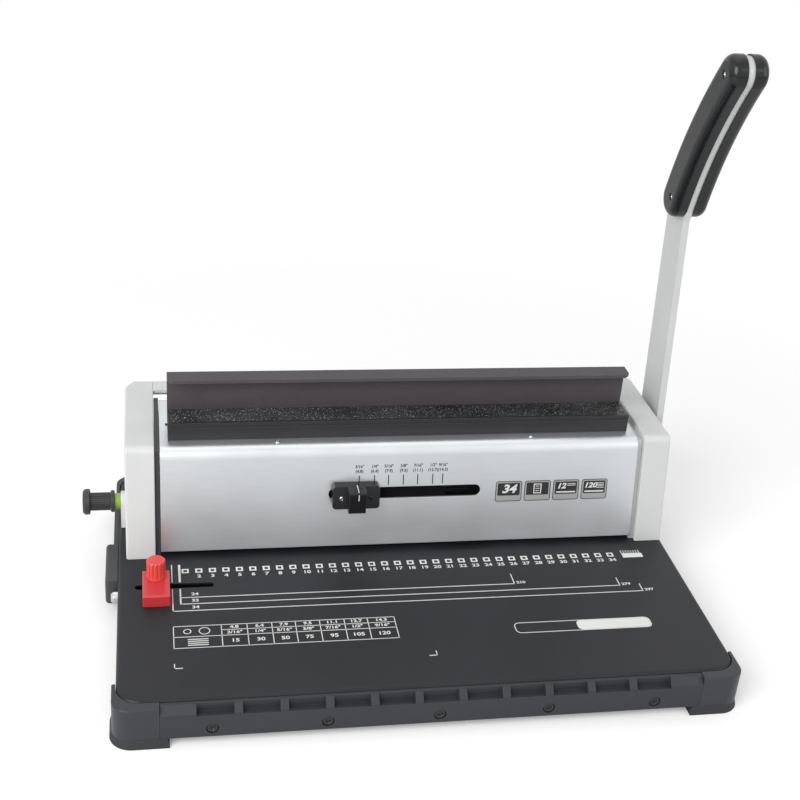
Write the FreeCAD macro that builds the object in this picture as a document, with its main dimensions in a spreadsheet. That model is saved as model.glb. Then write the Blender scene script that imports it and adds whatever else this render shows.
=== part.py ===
"""Desk machine that punches a row of square holes in paper and closes a wire spine in them.

Frame: X runs along the machine to its right, Y to its rear, Z up, in millimetres. The origin is the
middle of the base's footprint on the table. The row of punched holes is centred on X = 0.
"""

import FreeCAD, Part
import math
import os

import Sketcher

# Driving sizes: name, value in millimetres, degrees or a count, and what it measures

SIZES = (
    ("deck_beyond", "3", "deck beyond the end caps at each end"),
    ("deck_front", "166.5", "front rim of the deck ahead of the hole row"),
    ("cap_overhang", "0.6", "rear of the end caps beyond the deck's rear rim"),
    ("deck_height", "27", "table to the top of the deck"),
    ("deck_sheet", "1.2", "thickness of the deck sheet"),
    ("deck_corner", "14", "radius of the deck corners in plan"),
    ("deck_edge", "2.4", "radius where the deck turns down into its rim"),
    ("pan_sheet", "1.2", "thickness of the bottom pan"),
    ("foot_height", "5.5", "height of the rubber feet"),
    ("foot_flare", "1.5", "how far a foot stands out past the corner piece above it"),
    ("corner_wall", "2.4", "thickness of a corner piece outside the rim"),
    ("corner_length", "26", "corner piece along the machine"),
    ("corner_depth", "23.5", "corner piece from its front to its back"),
    ("corner_drop", "0.8", "top of the corner piece below the deck top"),
    ("seam", "0.2", "gap between neighbouring mouldings and sheets"),
    ("fascia_reach", "6.5", "front of the fascia ahead of the deck rim"),
    ("fascia_wall", "2.4", "thickness of the fascia"),
    ("fascia_drop", "1.4", "top of the fascia below the deck top"),
    ("trough_depth", "7", "floor of the wire trough below the deck top"),
    ("trough_wall", "1.8", "wall between the trough and the rim"),
    ("rib_count", "12", "ribs across the wire trough"),
    ("rib_every", "3", "punched holes from one trough rib to the next"),
    ("rib_width", "4.6", "width of a trough rib"),
    ("fascia_screw_end", "28.6", "outer fascia screws from the fascia's ends"),
    ("fascia_screw_radius", "3.4", "radius of a fascia screw head"),
    ("fascia_screw_lift", "5.5", "centre of the fascia screws above the bottom of the rim"),
    ("hole_count", "34", "holes punched in a full sheet"),
    ("hole_pitch", "8.4667", "three holes in 25.4 mm"),
    ("pin_side", "4", "side of a square punch pin"),
    ("pin_gap", "0.1", "clearance round a pin in the plates"),
    ("pin_length", "26", "length of a punch pin"),
    ("punch_line", "50", "row of holes behind the origin"),
    ("throat_height", "3", "height of the paper throat"),
    ("throat_spacer", "4.2", "width of the spacer at each end of the throat"),
    ("die_end", "14.1", "die and stripper plates beyond the last hole's centre"),
    ("die_thickness", "4", "thickness of the die plate"),
    ("die_front", "14", "die plate ahead of the hole row"),
    ("die_rear", "10", "die plate behind the hole row"),
    ("stripper_thickness", "6", "thickness of the stripper plate"),
    ("stripper_front", "9", "stripper plate ahead of the hole row"),
    ("stripper_rear", "4.5", "stripper plate behind the hole row"),
    ("die_screw_radius", "1.25", "radius of the screws through the punch block"),
    ("die_screw_ahead", "0.5", "screws through the punch block ahead of the hole row"),
    ("punch_bar_end", "12.8", "punch bar beyond the last hole's centre"),
    ("punch_bar_depth", "10", "punch bar from front to back"),
    ("punch_bar_height", "26", "height of the punch bar"),
    ("punch_rest_gap", "15", "punch bar above the stripper plate at rest"),
    ("pin_seat", "6", "height of the seat that holds the pins in the bar"),
    ("column_radius", "3", "radius of a guide column"),
    ("column_height", "43", "guide column above the stripper plate"),
    ("column_seat", "4", "depth of the blind hole that holds a column"),
    ("running_gap", "0.05", "radial clearance of a shaft or column in its bearing"),
    ("housing_shift", "2", "middle of the housing to the right of the hole row"),
    ("frame_gap", "0.7", "gap between the die plate and the nearer side frame"),
    ("housing_front", "30.3", "front of the end caps ahead of the hole row at deck level"),
    ("housing_lean", "12.2", "how far the front leans back over its height"),
    ("housing_height", "74", "end caps above the deck"),
    ("housing_rear", "20.6", "rear face of the end caps behind the cover"),
    ("cap_width", "18.3", "end cap along the machine"),
    ("cap_wall", "2.2", "wall of an end cap"),
    ("cap_bend", "5", "radius of the end cap's front top edge"),
    ("cap_rear_cut", "9.4", "slanted rear corner of an end cap, front to back"),
    ("cap_side_cut", "5.5", "slanted rear corner of an end cap, side to side"),
    ("frame_plate", "3", "thickness of a side frame"),
    ("frame_inset", "4", "side frame behind the cap's front and top"),
    ("frame_rear", "4", "rear edge of a side frame behind the cover"),
    ("cover_sheet", "1.2", "thickness of the cover sheet"),
    ("cover_inset", "1.8", "cover front behind the caps' front"),
    ("cover_drop", "2.5", "cover top below the caps' top"),
    ("cover_bend", "8", "outer radius of the cover's front bend"),
    ("cover_room", "5.5", "cover's rear face behind the press pinions"),
    ("paper_gap", "3.5", "cover's front edge above the deck"),
    ("bridge_depth", "13.1", "rear bridge from front to back"),
    ("bridge_lip", "9", "height of the rear bridge's turned-down lip"),
    ("selector_slot_length", "100", "slot in the cover for the size selector"),
    ("selector_slot_height", "7.8", "height of that slot"),
    ("selector_lift", "39.3", "centre of that slot above the deck"),
    ("selector_rest", "-31", "selector's middle at its smallest setting"),
    ("selector_plate_length", "30.6", "selector knob's plate along the slot"),
    ("selector_plate_height", "15.3", "height of the selector knob's plate"),
    ("selector_plate", "6", "thickness of the selector knob's plate"),
    ("selector_plate_corner", "2.4", "radius of the plate's corners"),
    ("selector_ridge_width", "11.3", "thumb ridge along the slot"),
    ("selector_ridge_reach", "6.4", "thumb ridge ahead of the plate's lower edge"),
    ("slide_gap", "0.3", "gap between the sliding selector and the cover"),
    ("slider_plate", "2.4", "thickness of the slider behind the cover"),
    ("stair_step", "9.13", "length of one step of the stop stair"),
    ("stair_count", "7", "wire sizes on the selector"),
    ("lug_width", "6", "width of the stop lug on the punch bar"),
    ("lug_reach", "12", "stop lug ahead of the punch bar"),
    ("lug_height", "6", "height of the stop lug"),
    ("lug_place", "4", "stop lug to the right of the hole row's middle"),
    ("jaw_end", "11.5", "half the lower jaw's length beyond half the hole row"),
    ("jaw_ahead", "5", "front face of the lower jaw ahead of the hole row"),
    ("jaw_depth", "19.4", "lower jaw from front to back"),
    ("jaw_height", "12.1", "height of the lower jaw"),
    ("jaw_strip_inset", "2", "grip strip behind the jaw's front face"),
    ("jaw_strip", "1", "thickness of the grip strip"),
    ("web_gap", "0.6", "gap between the lower jaw and the press bar's web"),
    ("web_thickness", "3", "thickness of the press bar's web"),
    ("web_lift", "20", "lower edge of the web above the main shaft at rest"),
    ("press_gap", "23.2", "gap between the jaw and the press bar's flange at rest"),
    ("press_flange", "2.2", "thickness of the press bar's flange"),
    ("press_flange_depth", "14", "press bar's flange from front to back"),
    ("press_notch", "10", "height of the web's notch over a punch rack"),
    ("rack_depth", "4.5", "press rack from the web to its pitch line"),
    ("shaft_lift", "39", "main shaft above the deck"),
    ("shaft_radius", "6", "radius of the main shaft"),
    ("bush_wall", "3", "wall of a shaft bush"),
    ("bush_flange", "2", "thickness and overhang of a bush flange"),
    ("gear_module", "1", "module of the pinions and racks"),
    ("gear_width", "7", "width of a pinion"),
    ("rack_width", "6", "width of a rack"),
    ("backlash", "0.16", "play taken off each tooth"),
    ("press_teeth", "23", "teeth of a press pinion"),
    ("punch_teeth", "18", "teeth of a punch pinion"),
    ("press_rack_inset", "8.2", "press rack's middle inside the press bar's end"),
    ("punch_rack_inset", "8.7", "punch rack's middle inside the last hole's centre"),
    ("handle_angle", "90", "swing of the handle in degrees"),
    ("rack_margin", "3", "rack beyond the teeth in use"),
    ("rack_foot", "14", "press rack below its last tooth"),
    ("spring_radius", "3", "outer radius of a return spring"),
    ("spring_gap", "2.2", "return spring behind the press rack"),
    ("peg_radius", "1.5", "radius of a spring peg"),
    ("peg_lift", "18", "upper spring peg above the main shaft"),
    ("rod_radius", "4", "radius of a tie rod"),
    ("rod_ahead", "12", "front tie rod ahead of the hole row"),
    ("rod_behind", "11", "rear tie rod behind the main shaft"),
    ("rod_drop", "13", "tie rods below the top of the end caps"),
    ("handle_gap", "4.3", "handle bar to the right of the end cap"),
    ("handle_plate", "4.5", "thickness of the handle bar"),
    ("handle_hub", "18", "radius of the handle bar's round end"),
    ("handle_root", "-0.9", "handle bar's middle behind the shaft at the shaft's height"),
    ("handle_top_y", "14.8", "end of the straight bar behind the shaft"),
    ("handle_top_z", "166", "end of the straight bar above the shaft"),
    ("grip_angle_low", "20", "forward lean of the grip at its lower end in degrees"),
    ("grip_angle_high", "39", "forward lean of the grip at its upper end in degrees"),
    ("grip_scale", "10", "thickness of one grip scale"),
    ("grip_round", "5.5", "radius along the outer edge of a grip scale"),
    ("tang_inset", "1", "handle bar's tang inside the grip's edge"),
    ("grip_screw", "2.4", "radius of a grip screw's head"),
    ("hub_washer", "12", "radius of the washer on the hub bolt"),
    ("guide_rest", "18.1", "edge guide's middle beyond the last hole's centre"),
    ("guide_line", "60.3", "slot of the edge guide ahead of the hole row"),
    ("guide_slot_out", "12.9", "guide's slot from its rest place to its outer end"),
    ("guide_slot_in", "35.4", "guide's slot from its rest place to its inner end"),
    ("guide_slot_width", "5", "width of the guide's slot"),
    ("guide_width", "16.6", "edge guide along the machine"),
    ("guide_front", "20.7", "edge guide ahead of its slot"),
    ("guide_back", "6.8", "edge guide behind its slot"),
    ("guide_height", "7.5", "height of the edge guide"),
    ("guide_knob_radius", "5.8", "radius of the guide's clamp knob"),
    ("guide_knob_height", "12.3", "height of the clamp knob"),
    ("guide_flutes", "14", "flutes round the clamp knob"),
    ("stud_radius", "2", "radius of the clamp knob's stud"),
    ("guide_nut", "3", "thickness of the guide's nut plate"),
    ("margin_behind", "13", "margin rod behind the hole row"),
    ("margin_lift", "17", "margin rod above the deck"),
    ("margin_rod", "4", "radius of the margin rod"),
    ("margin_boss", "3.4", "boss that stands out of the left end cap"),
    ("margin_collar_length", "3.8", "length of the coloured collar"),
    ("margin_collar", "5.2", "radius of the coloured collar"),
    ("margin_knob_length", "20.2", "length of the margin knob"),
    ("margin_knob", "6", "radius of the margin knob's middle"),
    ("margin_flange", "8.4", "radius of the margin knob's outer flange"),
    ("margin_inner_flange", "7.2", "radius of the margin knob's inner flange"),
    ("stop_plate", "1.5", "thickness of the paper stop"),
    ("stop_gap", "1.5", "paper stop behind the stripper plate"),
    ("stop_lift", "1", "paper stop above the deck"),
    ("stop_inset", "14.7", "paper stop's end inside the last hole's centre"),
    ("tray_end", "32.2", "inner end of the waste tray short of the right rim"),
    ("tray_ahead", "46", "front wall of the waste tray ahead of the hole row"),
    ("tray_width", "78", "waste tray from front to back"),
    ("tray_height", "9.4", "height of the waste tray"),
    ("tray_wall", "1.6", "wall of the waste tray"),
    ("tray_lift", "0.4", "waste tray above the bottom pan"),
    ("pull_plate", "3", "thickness of the tray's pull plate"),
    ("pull_ahead", "1.5", "pull plate ahead of the waste tray"),
    ("pull_width", "83.5", "pull plate from front to back"),
    ("pull_grip", "40.5", "raised grip of the pull plate, front to back"),
    ("pull_reach", "4.8", "grip beyond the pull plate"),
    ("catch_radius", "4", "radius of the tray catch's round head"),
    ("catch_ahead", "1.5", "gap between the tray catch and the pull plate"),
    ("fascia_bevel", "4", "slope along the fascia's front edge, in depth and in height"),
    ("fascia_screws", "5", "screws that hold the fascia"),
    ("screw_shank", "1.5", "radius of a small screw's shank"),
    ("screw_head", "1.6", "height of a screw's head"),
    ("screw_sink", "2", "depth that a screw's head is sunk to"),
    ("corner_round", "10", "radius of a corner piece's outer corner"),
    ("corner_edge", "1", "radius along the top of a corner piece"),
    ("foot_length", "30", "rubber foot along the machine at its top"),
    ("foot_corner", "12", "rubber foot's outer corner, cut back each way"),
    ("foot_round", "13", "radius of the rubber foot's outer corner"),
    ("rail_width", "2.4", "width of a tray runner"),
    ("rail_beyond", "5", "tray runner beyond the tray's inner end"),
    ("tray_play", "0.6", "clearance round the waste tray"),
    ("pull_lift", "1", "pull plate above the bottom of the rim"),
    ("pull_height", "17", "height of the pull plate"),
    ("pull_round", "2", "radius along the grip's outer edge"),
    ("catch_reach", "4.5", "tray catch beyond the rim"),
    ("catch_edge", "1.6", "chamfer round the tray catch's end"),
    ("catch_lift", "5.5", "tray catch above the bottom of the rim"),
    ("die_flange", "4", "die plate's flange under the deck, beyond the opening"),
    ("die_screw_head", "2.1", "radius of the head of a punch block's screw"),
    ("frame_foot", "10", "foot of a side frame in front of and behind its screws"),
    ("foot_screw", "2", "radius of the screws in the frames' feet"),
    ("foot_screw_ahead", "4", "front foot screw ahead of the hole row"),
    ("foot_screw_behind", "6", "rear foot screw behind the main shaft"),
    ("foot_nut", "2.5", "thickness of a foot screw's nut"),
    ("cap_screw_drop", "15", "upper cap screw below the top of the end caps"),
    ("cap_screw_lift", "15", "lower cap screw above the deck"),
    ("cap_boss", "5", "length of a screw boss inside a cap"),
    ("cap_boss_radius", "4", "radius of a screw boss"),
    ("cap_edge", "1.5", "radius round an end cap's outer face"),
    ("cap_bead", "0.7", "radius along the inner edges of a cap"),
    ("cap_hole", "2.2", "clearance round the shaft in the right cap's outer wall"),
    ("boss_width", "13", "width of the boss round the margin rod"),
    ("cover_rear_bend", "3", "outer radius of the cover's rear bend"),
    ("press_play", "1.2", "clearance at the ends of the press bar and beside its racks"),
    ("jaw_bead", "2.2", "height of the bead along the jaw's front"),
    ("jaw_groove", "0.6", "depth of the groove under the bead"),
    ("press_corner", "3", "cut corner at each end of the press bar's flange"),
    ("press_bend", "1.5", "outer radius where the flange meets the web"),
    ("rack_land", "0.8", "plain length beyond a punch rack's teeth"),
    ("peg_wall", "1.2", "wall of the spring ear round its peg"),
    ("guide_lap", "1.3", "press guide over the end of the web"),
    ("guide_wall", "2.7", "press guide ahead of the web"),
    ("guide_rear_wall", "1.5", "press guide behind the web"),
    ("guide_below_cover", "1.3", "press guide below the cover sheet"),
    ("press_guide_height", "30", "height of a press guide"),
    ("lug_lift", "7.1", "stop lug above the bottom of the punch bar"),
    ("clamp_beyond", "0.8", "pin clamp beyond the last pin"),
    ("shaft_beyond", "2.5", "shaft and rod beyond the frame"),
    ("collar_wall", "4", "collar on the shaft beyond its radius"),
    ("bolt_depth", "14", "depth of the bolt in the shaft"),
    ("bolt_radius", "3", "radius of the hub bolt"),
    ("bolt_head", "4", "height of the hub bolt's head"),
    ("bolt_head_radius", "5.5", "radius of the hub bolt's head"),
    ("washer_thickness", "1.5", "thickness of the hub washer"),
    ("clip_width", "1", "width of the retaining ring"),
    ("clip_wall", "3", "retaining ring beyond the shaft"),
    ("grip_low_y", "6.3", "grip's lower end ahead of the straight bar's end"),
    ("grip_low_z", "14", "grip's lower end above the straight bar's end"),
    ("grip_high_y", "51.5", "grip's upper end ahead of its lower end"),
    ("grip_high_z", "94.5", "grip's upper end above its lower end"),
    ("grip_low_radius", "12.4", "radius of the grip's lower end"),
    ("grip_high_radius", "11.5", "radius of the grip's upper end"),
    ("grip_bend", "326", "radius of the grip's curved middle line"),
    ("grip_screw_low_y", "4", "lower grip screw ahead of the lower end's centre"),
    ("grip_screw_low_z", "2", "lower grip screw above the lower end's centre"),
    ("grip_screw_high_y", "1", "upper grip screw behind the upper end's centre"),
    ("grip_screw_high_z", "1", "upper grip screw below the upper end's centre"),
    ("handle_low_width", "32.4", "width of the handle bar at the shaft"),
    ("handle_high_width", "28", "width of the handle bar below the grip"),
    ("stair_gap", "5", "stop stair ahead of the punch bar"),
    ("stair_depth", "6", "stop stair from front to back"),
    ("stair_play", "0.4", "highest step below the lug at the end of the stroke"),
    ("stair_rise", "1.25", "height of one step"),
    ("shelf_drop", "4.5", "bottom of the stair below its lowest step"),
    ("shelf_below", "1", "top of the stair's shelf below its lowest step"),
    ("selector_screw", "1.6", "radius of a selector screw"),
    ("selector_screw_spread", "9.4", "selector screw from the knob's middle"),
    ("selector_plate_drop", "7", "bottom of the knob's plate below the slot's middle"),
    ("selector_neck", "26", "length of the knob's neck in the slot"),
    ("ridge_round", "1.2", "radius round the front of the thumb ridge"),
    ("slider_length", "120", "length of the slider behind the cover"),
    ("slider_above", "8.5", "top of the slider above the slot's middle"),
    ("guide_lift", "0.1", "edge guide's clearance from the deck"),
    ("guide_edge", "1", "radius along the edge guide's top"),
    ("guide_tongue", "6", "tongue of the edge guide along its slot"),
    ("guide_nut_side", "13.4", "side of the guide's nut plate"),
    ("guide_knob_edge", "0.8", "chamfer round the clamp knob's top"),
    ("flute_radius", "0.9", "radius of a flute on the clamp knob"),
    ("knob_foot", "1.5", "plain foot of the clamp knob"),
    ("knob_inner_width", "2.4", "width of the margin knob's inner flange"),
    ("knob_outer_width", "4.6", "width of the margin knob's outer flange"),
    ("knob_chamfer", "1.2", "chamfer round the margin knob's end"),
    ("knob_cap", "1.5", "margin knob's end over the rod"),
    ("stop_lap", "3", "paper stop's flange behind the margin rod"),
)


class Size:
    """A length, angle or count: its number, and the formula that binds it to the sheet."""

    def __init__(self, number, text):
        self.number = number
        self.text = text

    def __add__(self, other):
        other = as_size(other)
        return Size(self.number + other.number, f"({self.text} + {other.text})")

    def __sub__(self, other):
        other = as_size(other)
        return Size(self.number - other.number, f"({self.text} - {other.text})")

    def __mul__(self, other):
        other = as_size(other)
        return Size(self.number * other.number, f"({self.text} * {other.text})")

    def __truediv__(self, other):
        other = as_size(other)
        return Size(self.number / other.number, f"({self.text} / {other.text})")

    def __neg__(self):
        return Size(-self.number, f"(0 - {self.text})")

    def __radd__(self, other):
        return as_size(other) + self

    def __rsub__(self, other):
        return as_size(other) - self

    def __rmul__(self, other):
        return as_size(other) * self


def as_size(value):
    """A plain number as a size."""
    if isinstance(value, Size):
        return value
    return Size(float(value), repr(float(value)))


def sine(angle):
    """Sine of an angle in degrees."""
    return Size(math.sin(math.radians(angle.number)), f"sin({angle.text} * 1deg)")


def cosine(angle):
    """Cosine of an angle in degrees."""
    return Size(math.cos(math.radians(angle.number)), f"cos({angle.text} * 1deg)")


def square_root(value):
    """Square root of a plain number."""
    return Size(math.sqrt(value.number), f"sqrt({value.text})")


doc = FreeCAD.newDocument("wire_binding_machine")
sheet = doc.addObject("Spreadsheet::Sheet", "Sizes")
S = {}
for row, (name, value, note) in enumerate(SIZES, 1):
    sheet.set(f"A{row}", note)
    sheet.set(f"B{row}", value)
    sheet.setAlias(f"B{row}", name)
    S[name] = Size(float(value), f"Sizes.{name}")
doc.recompute()

PARTS = []

# Places that several pieces share: along the machine, from the hole row outward

ROW_HALF = S["hole_pitch"] * (S["hole_count"] - 1) / 2
DIE_HALF = ROW_HALF + S["die_end"]
MIDDLE = S["housing_shift"]
JAW_HALF = ROW_HALF + S["jaw_end"]
FRAME_INNER = DIE_HALF + S["housing_shift"] + S["frame_gap"]
FRAME_OUTER = FRAME_INNER + S["frame_plate"]
CAP_INNER = FRAME_OUTER + S["seam"]
HALF_HOUSING = CAP_INNER + S["cap_width"]
COVER_HALF = FRAME_INNER - S["seam"]
HALF_DECK = HALF_HOUSING + S["deck_beyond"]
HANDLE_X = MIDDLE + HALF_HOUSING + S["handle_gap"]
HANDLE_OUT = HANDLE_X + S["handle_plate"]
SPRING_X = FRAME_INNER - S["bush_flange"] - S["slide_gap"] - S["spring_radius"]
FOOT_SCREW_HEAD = S["foot_screw"] * 2
FOOT_SCREW_X = CAP_INNER + S["cap_wall"] + S["slide_gap"] + FOOT_SCREW_HEAD

# From the table up

DECK_TOP = S["deck_height"]
DECK_UNDER = DECK_TOP - S["deck_sheet"]
RIM_BOTTOM = S["foot_height"]
PAN_TOP = RIM_BOTTOM + S["pan_sheet"]
CAP_TOP = DECK_TOP + S["housing_height"]
COVER_TOP = CAP_TOP - S["cover_drop"]
THROAT_TOP = DECK_TOP + S["throat_height"]
STRIPPER_TOP = THROAT_TOP + S["stripper_thickness"]
BAR_BOTTOM = STRIPPER_TOP + S["punch_rest_gap"]
BAR_TOP = BAR_BOTTOM + S["punch_bar_height"]
JAW_TOP = COVER_TOP + S["jaw_height"]
SHAFT_Z = DECK_TOP + S["shaft_lift"]
WEB_BOTTOM = SHAFT_Z + S["web_lift"]
FLANGE_BOTTOM = JAW_TOP + S["press_gap"]
PRESS_TOP = FLANGE_BOTTOM + S["press_flange"]
SELECTOR_Z = DECK_TOP + S["selector_lift"]

# The drive, and from the hole row forward and back

RADIAN = math.pi / 180
PRESS_PITCH = S["gear_module"] * S["press_teeth"] / 2
PUNCH_PITCH = S["gear_module"] * S["punch_teeth"] / 2
PRESS_STROKE = PRESS_PITCH * S["handle_angle"] * RADIAN
PUNCH_STROKE = PUNCH_PITCH * S["handle_angle"] * RADIAN
PUNCH_Y = S["punch_line"]
DECK_FRONT = PUNCH_Y - S["deck_front"]
FASCIA_FRONT = DECK_FRONT - S["fascia_reach"]
BAR_FRONT = PUNCH_Y - S["punch_bar_depth"] / 2
BAR_REAR = PUNCH_Y + S["punch_bar_depth"] / 2
JAW_FRONT = PUNCH_Y - S["jaw_ahead"]
JAW_REAR = JAW_FRONT + S["jaw_depth"]
WEB_FRONT = JAW_REAR + S["web_gap"]
WEB_REAR = WEB_FRONT + S["web_thickness"]
SHAFT_Y = WEB_REAR + S["rack_depth"] + PRESS_PITCH
SPRING_Y = WEB_REAR + S["spring_gap"] + S["spring_radius"]
COVER_REAR = SHAFT_Y + PRESS_PITCH + S["gear_module"] + S["cover_room"]
CAP_REAR = COVER_REAR + S["housing_rear"]
DECK_REAR = CAP_REAR - S["cap_overhang"]
HOUSING_FOOT = PUNCH_Y - S["housing_front"]
LEAN = S["housing_lean"] / S["housing_height"]
STRETCH = square_root(1 + LEAN * LEAN)
SHAFT = (SHAFT_Y, SHAFT_Z)
MARGIN = (PUNCH_Y + S["margin_behind"], DECK_TOP + S["margin_lift"])


def front_at(level, inset):
    """Y of a surface that leans with the housing's front, at a height, set back by an inset."""
    return HOUSING_FOOT + inset + LEAN * (level - DECK_TOP)


# Building blocks


def bind(thing, name, value):
    """Binds one property of an object to the sheet."""
    thing.setExpression(name, as_size(value).text)


def finish(thing, label):
    """Names a sub-part after the piece it is and puts it on the list to write."""
    thing.Label = label
    PARTS.append(thing)
    return thing


def block(name, x, y, z):
    """Box between two corners: x, y and z are (from, to) pairs."""
    thing = doc.addObject("Part::Box", name)
    for side, low_high, place in zip(("Length", "Width", "Height"), (x, y, z), "xyz"):
        low, high = (as_size(v) for v in low_high)
        bind(thing, side, high - low)
        bind(thing, f"Placement.Base.{place}", low)
    return thing


AXIS_TURN = {
    "x": FreeCAD.Rotation(FreeCAD.Vector(0, 1, 0), 90),
    "y": FreeCAD.Rotation(FreeCAD.Vector(1, 0, 0), -90),
    "z": FreeCAD.Rotation(),
}


def rod(name, axis, start, length, radius):
    """Cylinder that starts at a point and runs along +axis."""
    thing = doc.addObject("Part::Cylinder", name)
    thing.Placement = FreeCAD.Placement(FreeCAD.Vector(), AXIS_TURN[axis])
    bind(thing, "Radius", radius)
    bind(thing, "Height", length)
    for place, value in zip("xyz", start):
        bind(thing, f"Placement.Base.{place}", value)
    return thing


def hexagon(name, axis, start, length, radius):
    """Six-sided screw head or nut that starts at a point and runs along +axis."""
    thing = doc.addObject("Part::Prism", name)
    thing.Placement = FreeCAD.Placement(FreeCAD.Vector(), AXIS_TURN[axis])
    thing.Polygon = 6
    bind(thing, "Circumradius", radius)
    bind(thing, "Height", length)
    for place, value in zip("xyz", start):
        bind(thing, f"Placement.Base.{place}", value)
    return thing


def joined(name, things):
    """Union of several objects."""
    thing = doc.addObject("Part::MultiFuse", name)
    thing.Shapes = things
    return thing


def group(name, things):
    """Separate solids of one node, such as a set of alike screws."""
    thing = doc.addObject("Part::Compound", name)
    thing.Links = things
    return thing


def body(name):
    """Empty body."""
    return doc.addObject("PartDesign::Body", name)


def sketch(owner, plane, level):
    """Sketch on one of the body's own planes, raised by a level along X, -Y or Z."""
    made = owner.newObject("Sketcher::SketchObject", f"{owner.Name}_sketch")
    base = next(f for f in owner.Origin.OriginFeatures if f.Role == f"{plane}_Plane")
    made.AttachmentSupport = [(base, "")]
    made.MapMode = "FlatFace"
    bind(made, "AttachmentOffset.Base.z", level)
    return made


def pin_point(made, index, end, point):
    """Ties one point of a sketch to the sheet."""
    for kind, value in zip(("DistanceX", "DistanceY"), point):
        value = as_size(value)
        number = made.addConstraint(Sketcher.Constraint(kind, -1, 1, index, end, value.number))
        bind(made, f"Constraints[{number}]", value)


def outline(made, points, arcs=None):
    """Closed outline through points. arcs gives some sides a radius: side n runs from point n to
    the next, and bulges to its right where the radius is positive and to its left where not."""
    arcs = arcs or {}
    spots = [FreeCAD.Vector(as_size(x).number, as_size(y).number, 0) for x, y in points]
    first = made.GeometryCount
    count = len(points)
    ends = []
    for side in range(count):
        start, end = spots[side], spots[(side + 1) % count]
        if side not in arcs:
            made.addGeometry(Part.LineSegment(start, end), False)
            ends.append((1, 2))
            continue
        bulge = as_size(arcs[side]).number
        low, high = (start, end) if bulge > 0 else (end, start)
        made.addGeometry(Part.Arc(low, arc_top(low, high, abs(bulge)), high), False)
        ends.append((1, 2) if bulge > 0 else (2, 1))
    for side in range(count):
        after = (side + 1) % count
        made.addConstraint(
            Sketcher.Constraint("Coincident", first + side, ends[side][1], first + after, ends[after][0])
        )
        pin_point(made, first + side, ends[side][0], points[side])
        if side in arcs:
            radius = arcs[side] if as_size(arcs[side]).number > 0 else -arcs[side]
            tie = made.addConstraint(
                Sketcher.Constraint("Radius", first + side, as_size(radius).number)
            )
            bind(made, f"Constraints[{tie}]", radius)


def arc_top(start, end, radius):
    """Middle of the arc of less than a half circle that runs counter-clockwise from start to end."""
    chord = end - start
    outward = FreeCAD.Vector(chord.y, -chord.x, 0).normalize()
    half = chord.Length / 2
    return (start + end) / 2 + outward * (radius - math.sqrt(radius * radius - half * half))


def ring(made, centre, radius):
    """Circle tied to the sheet."""
    radius = as_size(radius)
    spot = FreeCAD.Vector(*(as_size(v).number for v in centre), 0)
    number = made.addGeometry(Part.Circle(spot, FreeCAD.Vector(0, 0, 1), radius.number), False)
    pin_point(made, number, 3, centre)
    tie = made.addConstraint(Sketcher.Constraint("Radius", number, radius.number))
    bind(made, f"Constraints[{tie}]", radius)


def pad(owner, plane, low, high, draw):
    """Pad of a drawn sketch between two levels of X, Y or Z."""
    low, high = as_size(low), as_size(high)
    made = sketch(owner, plane, -high if plane == "XZ" else low)
    draw(made)
    thing = owner.newObject("PartDesign::Pad", f"{owner.Name}_pad")
    thing.Profile = made
    bind(thing, "Length", high - low)
    doc.recompute()
    return thing


def pocket(owner, plane, low, high, draw):
    """Pocket of a drawn sketch between two levels, checked to remove something."""
    low, high = as_size(low), as_size(high)
    before = owner.Tip.Shape.Volume
    made = sketch(owner, plane, -high if plane == "XZ" else low)
    draw(made)
    thing = owner.newObject("PartDesign::Pocket", f"{owner.Name}_pocket")
    thing.Profile = made
    thing.Reversed = True
    bind(thing, "Length", high - low)
    doc.recompute()
    if not before - thing.Shape.Volume > 0.01:
        raise RuntimeError(f"{thing.Name} cuts nothing")
    return thing


def repeat(owner, feature, step, count):
    """Copies of a feature in a row along its sketch's horizontal axis."""
    thing = owner.newObject("PartDesign::LinearPattern", f"{owner.Name}_row")
    thing.Originals = [feature]
    thing.Direction = (feature.Profile[0], ["H_Axis"])
    bind(thing, "Length", step * (count - 1))
    bind(thing, "Occurrences", count)
    owner.Tip = thing
    doc.recompute()
    return thing


def soften(owner, radius, wanted, kind="Fillet"):
    """Fillet or chamfer on the edges that a test picks by middle point and direction."""
    names = []
    for number, edge in enumerate(owner.Tip.Shape.Edges, 1):
        first, last = edge.FirstParameter, edge.LastParameter
        chord = edge.valueAt(last) - edge.valueAt(first)
        along = chord.normalize() if chord.Length > 0.001 else chord
        if wanted(edge.valueAt((first + last) / 2), along):
            names.append(f"Edge{number}")
    if not names:
        raise RuntimeError(f"{owner.Name} has no edge to round")
    base = owner.Tip
    thing = owner.newObject(f"PartDesign::{kind}", f"{owner.Name}_{kind}")
    thing.Base = (base, names)
    bind(thing, "Radius" if kind == "Fillet" else "Size", radius)
    owner.Tip = thing
    doc.recompute()
    return thing


def shell(owner, wall, opened):
    """Hollow body with a wall of even thickness, open at the faces that a test picks."""
    names = []
    for number, face in enumerate(owner.Tip.Shape.Faces, 1):
        if opened(face.CenterOfMass, face.normalAt(0, 0)):
            names.append(f"Face{number}")
    base = owner.Tip
    thing = owner.newObject("PartDesign::Thickness", f"{owner.Name}_shell")
    thing.Base = (base, names)
    thing.Reversed = True
    bind(thing, "Value", wall)
    owner.Tip = thing
    doc.recompute()
    if thing.Shape.Volume >= base.Shape.Volume:
        raise RuntimeError(f"{owner.Name} stayed solid")
    return thing


def ordered(first, second):
    """Two levels, the lower one first."""
    return (first, second) if first.number < second.number else (second, first)


def at(value, size):
    """Whether a number lies at a size's place."""
    return abs(value - as_size(size).number) < 0.05


def poly(points, arcs=None):
    """Drawing of one closed outline."""
    return lambda made: outline(made, points, arcs)


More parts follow.
